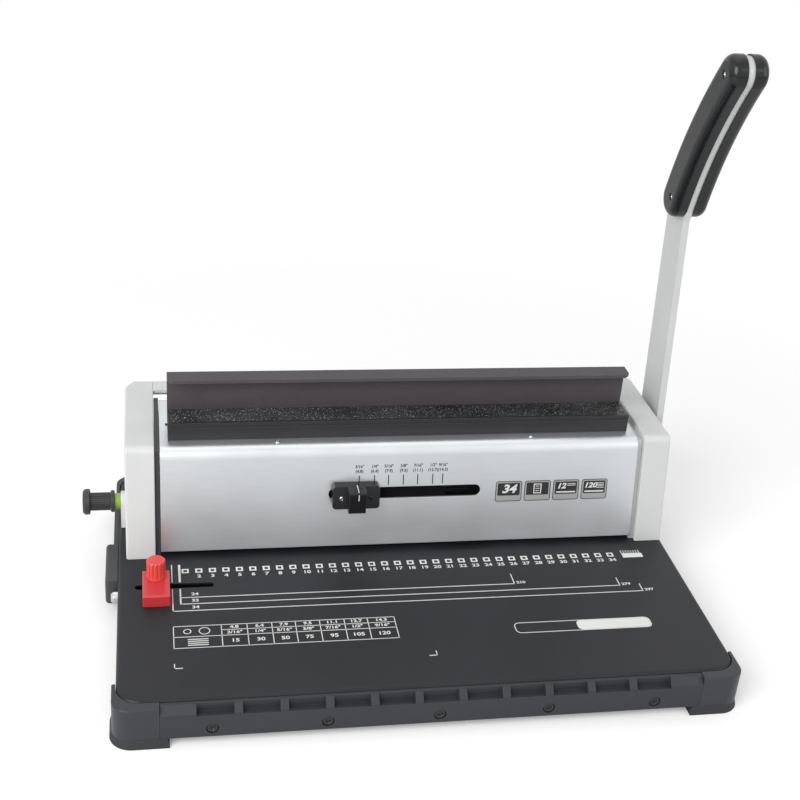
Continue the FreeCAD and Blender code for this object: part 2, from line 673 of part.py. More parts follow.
def rect(x, y):
    """Drawing of a rectangle from two (from, to) pairs."""
    return poly([(x[0], y[0]), (x[1], y[0]), (x[1], y[1]), (x[0], y[1])])


def circle(centre, radius):
    """Drawing of a circle."""
    return lambda made: ring(made, centre, radius)


def slot(x, y):
    """Drawing of a slot with round ends from two (from, to) pairs; it is longer in x."""

    def draw(made):
        low, high, bottom, top = (as_size(v) for v in (*x, *y))
        radius = (top - bottom) / 2
        left, right, middle = low + radius, high - radius, bottom + radius
        spot = lambda a, b: FreeCAD.Vector(a.number, b.number, 0)
        made.addGeometry(Part.LineSegment(spot(left, bottom), spot(right, bottom)), False)
        made.addGeometry(Part.Arc(spot(right, bottom), spot(high, middle), spot(right, top)), False)
        made.addGeometry(Part.LineSegment(spot(right, top), spot(left, top)), False)
        made.addGeometry(Part.Arc(spot(left, top), spot(low, middle), spot(left, bottom)), False)
        for side in range(4):
            made.addConstraint(Sketcher.Constraint("Coincident", side, 2, (side + 1) % 4, 1))
        for side, point in ((0, (left, bottom)), (1, (right, bottom)), (2, (right, top)), (3, (left, top))):
            pin_point(made, side, 1, point)
        for side, centre in ((1, right), (3, left)):
            tie = made.addConstraint(Sketcher.Constraint("DistanceX", -1, 1, side, 3, centre.number))
            bind(made, f"Constraints[{tie}]", centre)

    return draw


def steps(count):
    """Numbers of the copies of something that repeats."""
    return range(round(count.number))


def row(step, count):
    """Places of a row of copies, centred on zero."""
    return [step * (number - (count.number - 1) / 2) for number in steps(count)]


# Base: deck sheet, bottom pan, fascia with its wire trough, corner pieces and feet

DECK_X = (-HALF_DECK, HALF_DECK)
DECK_Y = (DECK_FRONT, DECK_REAR)
FASCIA_BACK = DECK_FRONT - S["seam"]
FASCIA_HALF = HALF_DECK - S["corner_length"] + S["corner_wall"] - S["seam"]
FASCIA_TOP = DECK_TOP - S["fascia_drop"]
TROUGH_FLOOR = DECK_TOP - S["trough_depth"]
RIB_PITCH = S["hole_pitch"] * S["rib_every"]
RIB_ROW = row(RIB_PITCH, S["rib_count"])
SCREW_PITCH = (FASCIA_HALF - S["fascia_screw_end"]) * 2 / (S["fascia_screws"] - 1)
SCREW_ROW = row(SCREW_PITCH, S["fascia_screws"])
SCREW_LEVEL = RIM_BOTTOM + S["fascia_screw_lift"]
TRAY_BOTTOM = PAN_TOP + S["tray_lift"]
TRAY_TOP = TRAY_BOTTOM + S["tray_height"]
TRAY_FRONT = PUNCH_Y - S["tray_ahead"]
TRAY_REAR = TRAY_FRONT + S["tray_width"]
TRAY_OUTER = -(HALF_DECK + S["seam"])
TRAY_INNER = HALF_DECK - S["tray_end"]
TRAY_MOUTH_Y = (TRAY_FRONT - S["tray_play"], TRAY_REAR + S["tray_play"])
PULL_FRONT = TRAY_FRONT - S["pull_ahead"]
DIE_Y = (PUNCH_Y - S["die_front"], PUNCH_Y + S["die_rear"])
DIE_X = (-DIE_HALF, DIE_HALF)
GUIDE_SPOT = (-(ROW_HALF + S["guide_rest"]), PUNCH_Y - S["guide_line"])
GUIDE_SLOT_X = (GUIDE_SPOT[0] - S["guide_slot_out"], GUIDE_SPOT[0] + S["guide_slot_in"])
GUIDE_SLOT_Y = (
    GUIDE_SPOT[1] - S["guide_slot_width"] / 2,
    GUIDE_SPOT[1] + S["guide_slot_width"] / 2,
)
FOOT_SCREWS_Y = (PUNCH_Y - S["foot_screw_ahead"], SHAFT_Y + S["foot_screw_behind"])
FOOT_SCREWS = [(MIDDLE + side * FOOT_SCREW_X, place) for side in (-1, 1) for place in FOOT_SCREWS_Y]


def circles(centres, radius):
    """Drawing of several circles."""
    return lambda made: [ring(made, centre, radius) for centre in centres] and None


def deck_tray():
    """Deck sheet with its rims turned down, cut for the tray, the die, the guide and screws."""
    tray = body("deck_tray")
    pad(tray, "XY", RIM_BOTTOM, DECK_TOP, rect(DECK_X, DECK_Y))
    soften(tray, S["deck_corner"], lambda spot, along: abs(along.z) > 0.9)
    soften(tray, S["deck_edge"], lambda spot, along: at(spot.z, DECK_TOP))
    shell(tray, S["deck_sheet"], lambda spot, normal: at(spot.z, RIM_BOTTOM))
    mouth = rect(TRAY_MOUTH_Y, (PAN_TOP, TRAY_TOP + S["tray_play"]))
    pocket(tray, "YZ", -HALF_DECK - S["seam"], -HALF_DECK + S["deck_sheet"] + S["seam"], mouth)
    through = (DECK_UNDER - S["seam"], DECK_TOP + S["seam"])
    die_hole = rect(
        (DIE_X[0] - S["seam"], DIE_X[1] + S["seam"]), (DIE_Y[0] - S["seam"], DIE_Y[1] + S["seam"])
    )
    pocket(tray, "XY", *through, die_hole)
    pocket(tray, "XY", *through, slot(GUIDE_SLOT_X, GUIDE_SLOT_Y))
    pocket(tray, "XY", *through, circles(FOOT_SCREWS, S["foot_screw"]))
    rim = (DECK_FRONT - S["seam"], DECK_FRONT + S["deck_sheet"] + S["seam"])
    first = circle((SCREW_ROW[0], SCREW_LEVEL), S["screw_shank"])
    repeat(tray, pocket(tray, "XZ", *rim, first), SCREW_PITCH, S["fascia_screws"])
    finish(tray, "deck_tray")


def base_pan():
    """Flat pan that closes the base from below."""
    pan = body("base_pan")
    inset = S["deck_sheet"] + S["seam"]
    outline_x = (-HALF_DECK + inset, HALF_DECK - inset)
    outline_y = (DECK_FRONT + inset, DECK_REAR - inset)
    pad(pan, "XY", RIM_BOTTOM, PAN_TOP, rect(outline_x, outline_y))
    soften(pan, S["deck_corner"] - inset, lambda spot, along: abs(along.z) > 0.9)
    finish(pan, "base_pan")


def front_fascia():
    """Front moulding, with a row of pockets between ribs that holds a wire spine while it is fed."""
    fascia = body("front_fascia")
    bevel = S["fascia_bevel"]
    inside = FASCIA_FRONT + S["fascia_wall"]
    under = TROUGH_FLOOR - S["trough_wall"]
    profile = [
        (FASCIA_FRONT, RIM_BOTTOM),
        (inside, RIM_BOTTOM),
        (inside, under),
        (FASCIA_BACK, under),
        (FASCIA_BACK, FASCIA_TOP),
        (FASCIA_FRONT + bevel, FASCIA_TOP),
        (FASCIA_FRONT, FASCIA_TOP - bevel),
    ]
    pad(fascia, "YZ", -FASCIA_HALF, FASCIA_HALF, poly(profile))
    pocket_x = (RIB_ROW[0] + S["rib_width"] / 2, RIB_ROW[1] - S["rib_width"] / 2)
    trough = rect(pocket_x, (TROUGH_FLOOR, FASCIA_TOP + S["seam"]))
    front = (FASCIA_FRONT - S["seam"], FASCIA_BACK - S["trough_wall"])
    first = pocket(fascia, "XZ", *front, trough)
    repeat(fascia, first, RIB_PITCH, S["rib_count"] - 1)
    wall = (FASCIA_FRONT - S["seam"], inside + S["seam"])
    sink = (FASCIA_FRONT - S["seam"], FASCIA_FRONT + S["screw_sink"])
    place = (SCREW_ROW[0], SCREW_LEVEL)
    for depth, radius in ((sink, S["fascia_screw_radius"] + S["seam"]), (wall, S["screw_shank"])):
        first = pocket(fascia, "XZ", *depth, circle(place, radius))
        repeat(fascia, first, SCREW_PITCH, S["fascia_screws"])
    finish(fascia, "front_fascia")


def fascia_screws():
    """Screws that hold the fascia to the deck's front rim."""
    screws = []
    head = FASCIA_FRONT + S["screw_sink"] - S["screw_head"]
    for number, place in enumerate(SCREW_ROW, 1):
        spot = (place, head, SCREW_LEVEL)
        cap = rod(f"fascia_screw_head_{number}", "y", spot, S["screw_head"], S["fascia_screw_radius"])
        reach = DECK_FRONT + S["deck_sheet"] - head
        shank = rod(f"fascia_screw_shank_{number}", "y", spot, reach, S["screw_shank"])
        screws.append(joined(f"fascia_screw_{number}", [cap, shank]))
    finish(group("fascia_screws", screws), "fascia_screws")


def corner(name, side, end):
    """Moulding that wraps one corner of the base; side and end are its signs in X and Y."""
    piece = body(name)
    rim = -DECK_FRONT if end < 0 else DECK_REAR
    reach = S["fascia_reach"] if end < 0 else S["corner_wall"]
    outer_x = HALF_DECK + S["corner_wall"]
    outer_y = rim + reach
    x = (side * outer_x, side * (outer_x - S["corner_length"]))
    y = (end * outer_y, end * (outer_y - S["corner_depth"]))
    top = DECK_TOP - S["corner_drop"]
    pad(piece, "XY", RIM_BOTTOM, top, rect(x, y))
    upright = lambda spot, along: abs(along.z) > 0.9
    inner_x = side * (HALF_DECK + S["seam"])
    inner_y = end * (rim + S["seam"])
    beyond = S["corner_length"] + S["seam"]
    hollow = rect((inner_x, inner_x - side * beyond), (inner_y, inner_y - end * beyond))
    pocket(piece, "XY", RIM_BOTTOM - S["seam"], top + S["seam"], hollow)
    inner = lambda s, a: upright(s, a) and at(s.x, inner_x) and at(s.y, inner_y)
    soften(piece, S["deck_corner"] + S["seam"], inner)
    soften(piece, S["corner_round"], lambda s, a: upright(s, a) and at(s.x, x[0]) and at(s.y, y[0]))
    near = S["corner_round"].number
    bend = lambda s: abs(s.x - x[0].number) + abs(s.y - y[0].number) < near
    outer = lambda s: bend(s) or at(s.x, x[0]) or at(s.y, y[0])
    soften(piece, S["corner_edge"], lambda s, a: at(s.z, top) and outer(s))
    finish(piece, name)


def rubber_feet():
    """Four rubber feet under the corners, wider at the table than at the pan."""
    feet = []
    for side in (-1, 1):
        for end in (-1, 1):
            feet.append(rubber_foot(side, end))
    finish(group("rubber_feet", feet), "rubber_feet")


def rubber_foot(side, end):
    """One foot, lofted between a wide sole and a narrower top."""
    foot = body(f"rubber_foot_{'left' if side < 0 else 'right'}_{'front' if end < 0 else 'rear'}")
    rim = -DECK_FRONT if end < 0 else DECK_REAR
    reach = S["fascia_reach"] if end < 0 else S["corner_wall"]
    drawn = []
    for level, flare in ((as_size(0), S["foot_flare"]), (RIM_BOTTOM, S["seam"])):
        outer_x = HALF_DECK + S["corner_wall"] + flare
        outer_y = rim + reach + flare
        inner_x = HALF_DECK + S["corner_wall"] - S["foot_length"] - flare
        inner_y = rim + reach - S["corner_depth"] - flare
        made = sketch(foot, "XY", level)
        cut = S["foot_corner"]
        points = [
            (side * inner_x, end * inner_y),
            (side * outer_x, end * inner_y),
            (side * outer_x, end * (outer_y - cut)),
            (side * (outer_x - cut), end * outer_y),
            (side * inner_x, end * outer_y),
        ]
        bulge = S["foot_round"] if side * end > 0 else -S["foot_round"]
        outline(made, points, {2: bulge})
        drawn.append(made)
    loft = foot.newObject("PartDesign::AdditiveLoft", f"{foot.Name}_loft")
    loft.Profile = drawn[0]
    loft.Sections = [drawn[1]]
    loft.Ruled = True
    return foot


# Waste tray and its runners


def tray_rails():
    """Two runners between the pan and the deck that guide the waste tray."""
    x = (-HALF_DECK + S["deck_edge"], TRAY_INNER + S["rail_beyond"])
    front = (TRAY_MOUTH_Y[0] - S["rail_width"], TRAY_MOUTH_Y[0])
    rear = (TRAY_MOUTH_Y[1], TRAY_MOUTH_Y[1] + S["rail_width"])
    rails = [
        block("tray_rail_front", x, front, (PAN_TOP, DECK_UNDER)),
        block("tray_rail_rear", x, rear, (PAN_TOP, DECK_UNDER)),
    ]
    finish(group("tray_rails", rails), "tray_rails")


def waste_tray():
    """Open tray that catches the punched paper."""
    tray = body("waste_tray")
    inside = rect((TRAY_OUTER, TRAY_INNER), (TRAY_FRONT, TRAY_REAR))
    pad(tray, "XY", TRAY_BOTTOM, TRAY_TOP, inside)
    shell(tray, S["tray_wall"], lambda spot, normal: at(spot.z, TRAY_TOP))
    finish(tray, "waste_tray")


def tray_pull():
    """Plate at the end of the waste tray, with a raised grip at its front."""
    pull = body("tray_pull")
    y = (PULL_FRONT, PULL_FRONT + S["pull_width"])
    z = (RIM_BOTTOM + S["pull_lift"], RIM_BOTTOM + S["pull_lift"] + S["pull_height"])
    face = TRAY_OUTER - S["pull_plate"]
    end = face - S["pull_reach"]
    pad(pull, "YZ", face, TRAY_OUTER, rect(y, z))
    pad(pull, "YZ", end, face, rect((y[0], y[0] + S["pull_grip"]), z))
    soften(pull, S["pull_round"], lambda spot, along: at(spot.x, end))
    finish(pull, "tray_pull")


def tray_catch():
    """Round stud that the tray's pull plate clicks against."""
    catch = body("tray_catch")
    outer = -HALF_DECK - S["catch_reach"]
    spot = (
        PULL_FRONT - S["catch_ahead"] - S["catch_radius"],
        RIM_BOTTOM + S["catch_lift"] + S["catch_radius"],
    )
    pad(catch, "YZ", outer, -HALF_DECK, circle(spot, S["catch_radius"]))
    soften(catch, S["catch_edge"], lambda spot, along: at(spot.x, outer), "Chamfer")
    finish(catch, "tray_catch")


# Punch block: die, stripper, spacers and guide columns

PIN_ROW = row(S["hole_pitch"], S["hole_count"])
STRIPPER_Y = (PUNCH_Y - S["stripper_front"], PUNCH_Y + S["stripper_rear"])
DIE_FLANGE = DECK_UNDER - S["die_thickness"]
SPACER_INNER = DIE_HALF - S["throat_spacer"]
DIE_SCREW_X = DIE_HALF - S["throat_spacer"] / 2
COLUMN_X = DIE_SCREW_X - S["die_screw_head"] - S["slide_gap"] - S["column_radius"]
COLUMNS = [(-COLUMN_X, PUNCH_Y), (COLUMN_X, PUNCH_Y)]
DIE_SCREW_Y = PUNCH_Y - S["die_screw_ahead"]
DIE_SCREWS = [(-DIE_SCREW_X, DIE_SCREW_Y), (DIE_SCREW_X, DIE_SCREW_Y)]


def square_holes(owner, low, high):
    """Row of square holes that the punch pins pass through."""
    half = S["pin_side"] / 2 + S["pin_gap"]
    hole = rect((PIN_ROW[0] - half, PIN_ROW[0] + half), (PUNCH_Y - half, PUNCH_Y + half))
    repeat(owner, pocket(owner, "XY", low, high, hole), S["hole_pitch"], S["hole_count"])


def die_plate():
    """Die under the paper: flush with the deck, with a flange that bears on its underside."""
    die = body("die_plate")
    pad(die, "XY", DECK_UNDER, DECK_TOP, rect(DIE_X, DIE_Y))
    flange = S["die_flange"]
    wide = rect((DIE_X[0] - flange, DIE_X[1] + flange), (DIE_Y[0] - flange, DIE_Y[1] + flange))
    pad(die, "XY", DIE_FLANGE, DECK_UNDER, wide)
    square_holes(die, DIE_FLANGE - S["seam"], DECK_TOP + S["seam"])
    screws = circles(DIE_SCREWS, S["die_screw_radius"])
    pocket(die, "XY", DIE_FLANGE - S["seam"], DECK_TOP + S["seam"], screws)
    finish(die, "die_plate")


def throat_spacers():
    """Blocks at both ends that hold the paper throat open."""
    spacers = []
    for side in (-1, 1):
        piece = body(f"throat_spacer_{'left' if side < 0 else 'right'}")
        x = (side * SPACER_INNER, side * DIE_HALF)
        pad(piece, "XY", DECK_TOP, THROAT_TOP, rect(x, STRIPPER_Y))
        hole = circle((side * DIE_SCREW_X, DIE_SCREW_Y), S["die_screw_radius"])
        pocket(piece, "XY", DECK_TOP - S["seam"], THROAT_TOP + S["seam"], hole)
        spacers.append(piece)
    finish(group("throat_spacers", spacers), "throat_spacers")


def stripper_plate():
    """Plate above the paper that guides the pins and holds the sheets down as they lift."""
    plate = body("stripper_plate")
    pad(plate, "XY", THROAT_TOP, STRIPPER_TOP, rect(DIE_X, STRIPPER_Y))
    through = (THROAT_TOP - S["seam"], STRIPPER_TOP + S["seam"])
    square_holes(plate, *through)
    pocket(plate, "XY", *through, circles(DIE_SCREWS, S["die_screw_radius"]))
    seats = circles(COLUMNS, S["column_radius"])
    pocket(plate, "XY", STRIPPER_TOP - S["column_seat"], STRIPPER_TOP + S["seam"], seats)
    finish(plate, "stripper_plate")


def guide_columns():
    """Columns that keep the punch bar level."""
    length = S["column_seat"] + S["column_height"]
    columns = []
    for name, side in (("left", -1), ("right", 1)):
        foot = (side * COLUMN_X, PUNCH_Y, STRIPPER_TOP - S["column_seat"])
        columns.append(rod(f"guide_column_{name}", "z", foot, length, S["column_radius"]))
    finish(group("guide_columns", columns), "guide_columns")


def die_screws():
    """Screws that clamp the die, the spacers and the stripper plate together."""
    screws = []
    for name, side in (("left", -1), ("right", 1)):
        foot = (side * DIE_SCREW_X, DIE_SCREW_Y, DIE_FLANGE)
        shank = rod(f"die_screw_shank_{name}", "z", foot, STRIPPER_TOP - DIE_FLANGE, S["die_screw_radius"])
        top = (side * DIE_SCREW_X, DIE_SCREW_Y, STRIPPER_TOP)
        head = hexagon(f"die_screw_head_{name}", "z", top, S["screw_head"], S["die_screw_head"])
        screws.append(joined(f"die_screw_{name}", [shank, head]))
    finish(group("die_screws", screws), "die_screws")


# Housing: side frames, cover, end caps and rear bridge

FRAME_TOP = CAP_TOP - S["frame_inset"]
PRESS_SLOT_X = (MIDDLE - JAW_HALF - S["press_play"], MIDDLE + JAW_HALF + S["press_play"])
COVER_X = (MIDDLE - COVER_HALF, MIDDLE + COVER_HALF)
SELECTOR_SLOT_X = (MIDDLE - S["selector_slot_length"] / 2, MIDDLE + S["selector_slot_length"] / 2)
RODS_Y = (PUNCH_Y - S["rod_ahead"], SHAFT_Y + S["rod_behind"])
CAP_SCREWS = [(PUNCH_Y, CAP_TOP - S["cap_screw_drop"]), (RODS_Y[1], DECK_TOP + S["cap_screw_lift"])]
BUSH_RADIUS = S["shaft_radius"] + S["running_gap"] + S["bush_wall"]
FRAME_REAR = COVER_REAR + S["frame_rear"]
FRAME_FOOT_Y = (FOOT_SCREWS_Y[0] - S["frame_foot"], FOOT_SCREWS_Y[1] + S["frame_foot"])
FRAME_FOOT_X = FOOT_SCREW_X + FOOT_SCREW_HEAD + S["seam"]
FRAME_FOOT_TOP = DECK_TOP + S["frame_plate"]


def side_frame(name, side):
    """Steel plate that carries the shaft, the tie rods and the guides, with a foot turned outward."""
    frame = body(name)
    inner, outer = MIDDLE + side * FRAME_INNER, MIDDLE + side * FRAME_OUTER
    low, high = ordered(inner, outer)
    inset = S["frame_inset"]
    profile = [
        (front_at(DECK_TOP, inset), DECK_TOP),
        (FRAME_REAR, DECK_TOP),
        (FRAME_REAR, FRAME_TOP),
        (front_at(FRAME_TOP, inset), FRAME_TOP),
    ]
    pad(frame, "YZ", low, high, poly(profile))
    foot = (outer, MIDDLE + side * FRAME_FOOT_X)
    pad(frame, "XY", DECK_TOP, FRAME_FOOT_TOP, rect(foot, FRAME_FOOT_Y))
    spots = [(MIDDLE + side * FOOT_SCREW_X, place) for place in FOOT_SCREWS_Y]
    holes = circles(spots, S["foot_screw"])
    pocket(frame, "XY", DECK_TOP - S["seam"], FRAME_FOOT_TOP + S["seam"], holes)
    span = (low - S["seam"], high + S["seam"])
    pocket(frame, "YZ", *span, circle(SHAFT, BUSH_RADIUS))
    pocket(frame, "YZ", *span, circle(MARGIN, S["margin_rod"] + S["running_gap"]))
    pocket(frame, "YZ", *span, circles(CAP_SCREWS, S["screw_shank"]))
    finish(frame, name)


def frame_screws():
    """Screws through the frames' feet and the deck, with nuts below."""
    screws = []
    top = FRAME_FOOT_TOP
    low = DECK_UNDER - S["foot_nut"]
    for number, spot in enumerate(FOOT_SCREWS, 1):
        shank = rod(f"frame_screw_shank_{number}", "z", (*spot, low), top - low, S["foot_screw"])
        head = hexagon(f"frame_screw_head_{number}", "z", (*spot, top), S["screw_head"], FOOT_SCREW_HEAD)
        nut = hexagon(f"frame_screw_nut_{number}", "z", (*spot, low), S["foot_nut"], FOOT_SCREW_HEAD)
        screws.append(joined(f"frame_screw_{number}", [shank, head, nut]))
    finish(group("frame_screws", screws), "frame_screws")


def shaft_bushes():
    """Flanged bushes that the main shaft turns in."""
    bushes = []
    for name, side in (("left", -1), ("right", 1)):
        inner = MIDDLE + side * FRAME_INNER
        outer = MIDDLE + side * FRAME_OUTER
        face = inner - side * S["bush_flange"]
        bush = body(f"shaft_bush_{name}")
        pad(bush, "YZ", *ordered(inner, outer), circle(SHAFT, BUSH_RADIUS))
        pad(bush, "YZ", *ordered(face, inner), circle(SHAFT, BUSH_RADIUS + S["bush_flange"]))
        low, high = ordered(face, outer)
        bore = circle(SHAFT, S["shaft_radius"] + S["running_gap"])
        pocket(bush, "YZ", low - S["seam"], high + S["seam"], bore)
        bushes.append(bush)
    finish(group("shaft_bushes", bushes), "shaft_bushes")


def housing_cover():
    """Bent sheet over the mechanism, slotted for the press bar and for the selector."""
    cover = body("housing_cover")
    inset = S["cover_inset"]
    front_edge = DECK_TOP + S["paper_gap"]
    profile = [
        (front_at(front_edge, inset), front_edge),
        (COVER_REAR, DECK_TOP),
        (COVER_REAR, COVER_TOP),
        (front_at(COVER_TOP, inset), COVER_TOP),
    ]
    pad(cover, "YZ", *COVER_X, poly(profile))
    along_x = lambda spot, along: abs(along.x) > 0.9 and at(spot.z, COVER_TOP)
    soften(cover, S["cover_bend"], lambda s, a: along_x(s, a) and not at(s.y, COVER_REAR))
    soften(cover, S["cover_rear_bend"], lambda s, a: along_x(s, a) and at(s.y, COVER_REAR))
    open_face = lambda spot, normal: abs(normal.x) > 0.9 or normal.z < -0.9
    shell(cover, S["cover_sheet"], open_face)
    press_slot = rect(PRESS_SLOT_X, (WEB_FRONT - S["slide_gap"], WEB_REAR + S["slide_gap"]))
    pocket(cover, "XY", COVER_TOP - S["cover_sheet"] * 2, COVER_TOP + S["seam"], press_slot)
    half = S["selector_slot_height"] / 2
    low, high = SELECTOR_Z - half, SELECTOR_Z + half
    depth = (front_at(low, inset) - S["cover_sheet"], front_at(high, inset) + S["cover_sheet"] * 2)
    pocket(cover, "XZ", *depth, slot(SELECTOR_SLOT_X, (low, high)))
    finish(cover, "housing_cover")


def end_cap(name, side):
    """Moulded cap over one end of the mechanism, open at the bottom."""
    cap = body(name)
    inner, outer = MIDDLE + side * CAP_INNER, MIDDLE + side * HALF_HOUSING
    foot = DECK_TOP + S["seam"]
    profile = [
        (front_at(foot, 0), foot),
        (CAP_REAR, foot),
        (CAP_REAR, CAP_TOP),
        (front_at(CAP_TOP, 0), CAP_TOP),
    ]
    pad(cap, "YZ", *ordered(inner, outer), poly(profile))
    front_top = lambda s, a: abs(a.x) > 0.9 and at(s.z, CAP_TOP) and not at(s.y, CAP_REAR)
    soften(cap, S["cap_bend"], front_top)
    beyond = outer + side * S["seam"]
    slant_y, slant_x = CAP_REAR - S["cap_rear_cut"], outer - side * S["cap_side_cut"]
    back = CAP_REAR + S["seam"]
    corner_off = [(outer, slant_y), (beyond, slant_y), (beyond, back), (slant_x, back), (slant_x, CAP_REAR)]
    pocket(cap, "XY", foot - S["seam"], CAP_TOP + S["seam"], poly(corner_off))
    above = foot.number + S["cap_edge"].number
    soften(cap, S["cap_edge"], lambda s, a: at(s.x, outer) and s.z > above)
    soften(cap, S["cap_bead"], lambda s, a: at(s.x, inner) and s.z > above)
    room_x = (inner + side * S["cap_wall"], outer - side * S["cap_wall"])
    ceiling = CAP_TOP - S["cap_wall"]
    wall_depth = S["cap_wall"] * STRETCH
    room = [
        (front_at(foot - S["seam"], wall_depth), foot - S["seam"]),
        (slant_y, foot - S["seam"]),
        (slant_y, ceiling),
        (front_at(ceiling, wall_depth) + S["cap_bend"] / 2, ceiling),
        (front_at(ceiling - S["cap_bend"] / 2, wall_depth), ceiling - S["cap_bend"] / 2),
    ]
    pocket(cap, "YZ", *ordered(*room_x), poly(room))
    boss_x = (room_x[0], room_x[0] + side * S["cap_boss"])
    pad(cap, "YZ", *ordered(*boss_x), circles(CAP_SCREWS, S["cap_boss_radius"]))
    inner_wall = (inner - side * S["seam"], room_x[0] + side * S["seam"])
    pocket(cap, "YZ", *ordered(inner_wall[0], boss_x[1]), circles(CAP_SCREWS, S["screw_shank"]))
    flange_y = (FRAME_FOOT_Y[0] - S["slide_gap"], FRAME_FOOT_Y[1] + S["slide_gap"])
    flange_z = (foot - S["seam"], FRAME_FOOT_TOP + S["slide_gap"])
    pocket(cap, "YZ", *ordered(*inner_wall), rect(flange_y, flange_z))
    clip_room = S["shaft_radius"] + S["clip_wall"] + S["slide_gap"]
    pocket(cap, "YZ", *ordered(*inner_wall), circle(SHAFT, clip_room))
    rod_room = circle(MARGIN, S["margin_rod"] + S["slide_gap"])
    pocket(cap, "YZ", *ordered(*inner_wall), rod_room)
    outer_wall = (room_x[1] - side * S["seam"], outer + side * S["seam"])
    if side < 0:
        half = S["boss_width"] / 2
        boss_end = outer - S["margin_boss"]
        shape = rect((MARGIN[0] - half, MARGIN[0] + half), (foot, MARGIN[1] + half))
        pad(cap, "YZ", boss_end, outer, shape)
        top_edges = lambda s, a: s.x < outer.number and at(s.z, MARGIN[1] + half) and abs(a.x) > 0.9
        soften(cap, half - S["seam"], top_edges)
        pocket(cap, "YZ", boss_end - S["seam"], outer_wall[0], rod_room)
    else:
        pocket(cap, "YZ", *ordered(*outer_wall), circle(SHAFT, S["shaft_radius"] + S["cap_hole"]))
    finish(cap, name)


def rear_bridge():
    """Moulded bar that joins the end caps behind the cover, with a lip along its rear."""
    bridge = body("rear_bridge")
    front, inside = CAP_REAR - S["bridge_depth"], CAP_REAR - S["cap_wall"]
    under, lip = CAP_TOP - S["cap_wall"], CAP_TOP - S["bridge_lip"]
    profile = [
        (front, under),
        (inside, under),
        (inside, lip),
        (CAP_REAR, lip),
        (CAP_REAR, CAP_TOP),
        (front, CAP_TOP),
    ]
    pad(bridge, "YZ", MIDDLE - CAP_INNER, MIDDLE + CAP_INNER, poly(profile))
    finish(bridge, "rear_bridge")


def cap_screws():
    """Screws from inside each frame into the caps' bosses."""
    screws = []
    for side in (-1, 1):
        inner = MIDDLE + side * FRAME_INNER
        tip = MIDDLE + side * (CAP_INNER + S["cap_wall"] + S["cap_boss"] / 2)
        head_end = inner - side * S["screw_head"]
        for number, spot in enumerate(CAP_SCREWS, 1):
            tag = f"{'left' if side < 0 else 'right'}_{number}"
            low, high = ordered(inner, tip)
            shank = rod(f"cap_screw_shank_{tag}", "x", (low, *spot), high - low, S["screw_shank"])
            low, high = ordered(head_end, inner)
            head = hexagon(f"cap_screw_head_{tag}", "x", (low, *spot), high - low, S["screw_shank"] * 2)
            screws.append(joined(f"cap_screw_{tag}", [shank, head]))
    finish(group("cap_screws", screws), "cap_screws")


def tie_rods():
    """Rods that hold the two frames apart."""
    rods = []
    low, length = MIDDLE - FRAME_INNER, FRAME_INNER * 2
    level = CAP_TOP - S["rod_drop"]
    for name, place in zip(("front", "rear"), RODS_Y):
        rods.append(rod(f"tie_rod_{name}", "x", (low, place, level), length, S["rod_radius"]))
    finish(group("tie_rods", rods), "tie_rods")


# Press: lower jaw on the cover, press bar, its racks, guides and springs

JAW_X = (MIDDLE - JAW_HALF, MIDDLE + JAW_HALF)
PUNCH_RACK_X = ROW_HALF - S["punch_rack_inset"]
PUNCH_RACKS_X = (-PUNCH_RACK_X, PUNCH_RACK_X)
PRESS_RACK_X = JAW_HALF - S["press_rack_inset"]
PRESS_RACKS_X = (MIDDLE - PRESS_RACK_X, MIDDLE + PRESS_RACK_X)
ADDENDUM = S["gear_module"]
DEDENDUM = S["gear_module"] * 1.25
PRESSURE_ANGLE = math.radians(20)
TOOTH_PITCH = S["gear_module"] * math.pi
SPRINGS_X = (MIDDLE - SPRING_X, MIDDLE + SPRING_X)
RACK_FLOOR = SHAFT_Z - S["rack_margin"] - S["rack_foot"]
PEG_LEVEL = SHAFT_Z + S["peg_lift"]


def lower_jaw():
    """Fixed jaw on the cover, with a bead and a groove along its front."""
    jaw = body("lower_jaw")
    front, strip = JAW_FRONT, S["jaw_strip"]
    groove = JAW_TOP - S["jaw_bead"]
    sunk = front + S["jaw_groove"]
    profile = [
        (front, COVER_TOP),
        (JAW_REAR, COVER_TOP),
        (JAW_REAR, JAW_TOP - strip),
        (front + S["jaw_strip_inset"], JAW_TOP - strip),
        (front + S["jaw_strip_inset"], JAW_TOP),
        (front, JAW_TOP),
        (front, groove),
        (sunk, groove),
        (sunk, groove - S["jaw_groove"] * 2),
        (front, groove - S["jaw_groove"] * 2),
    ]
    pad(jaw, "YZ", *JAW_X, poly(profile))
    finish(jaw, "lower_jaw")


def jaw_strip():
    """Textured strip let into the top of the lower jaw."""
    y = (JAW_FRONT + S["jaw_strip_inset"], JAW_REAR)
    finish(block("jaw_strip_block", JAW_X, y, (JAW_TOP - S["jaw_strip"], JAW_TOP)), "jaw_strip")


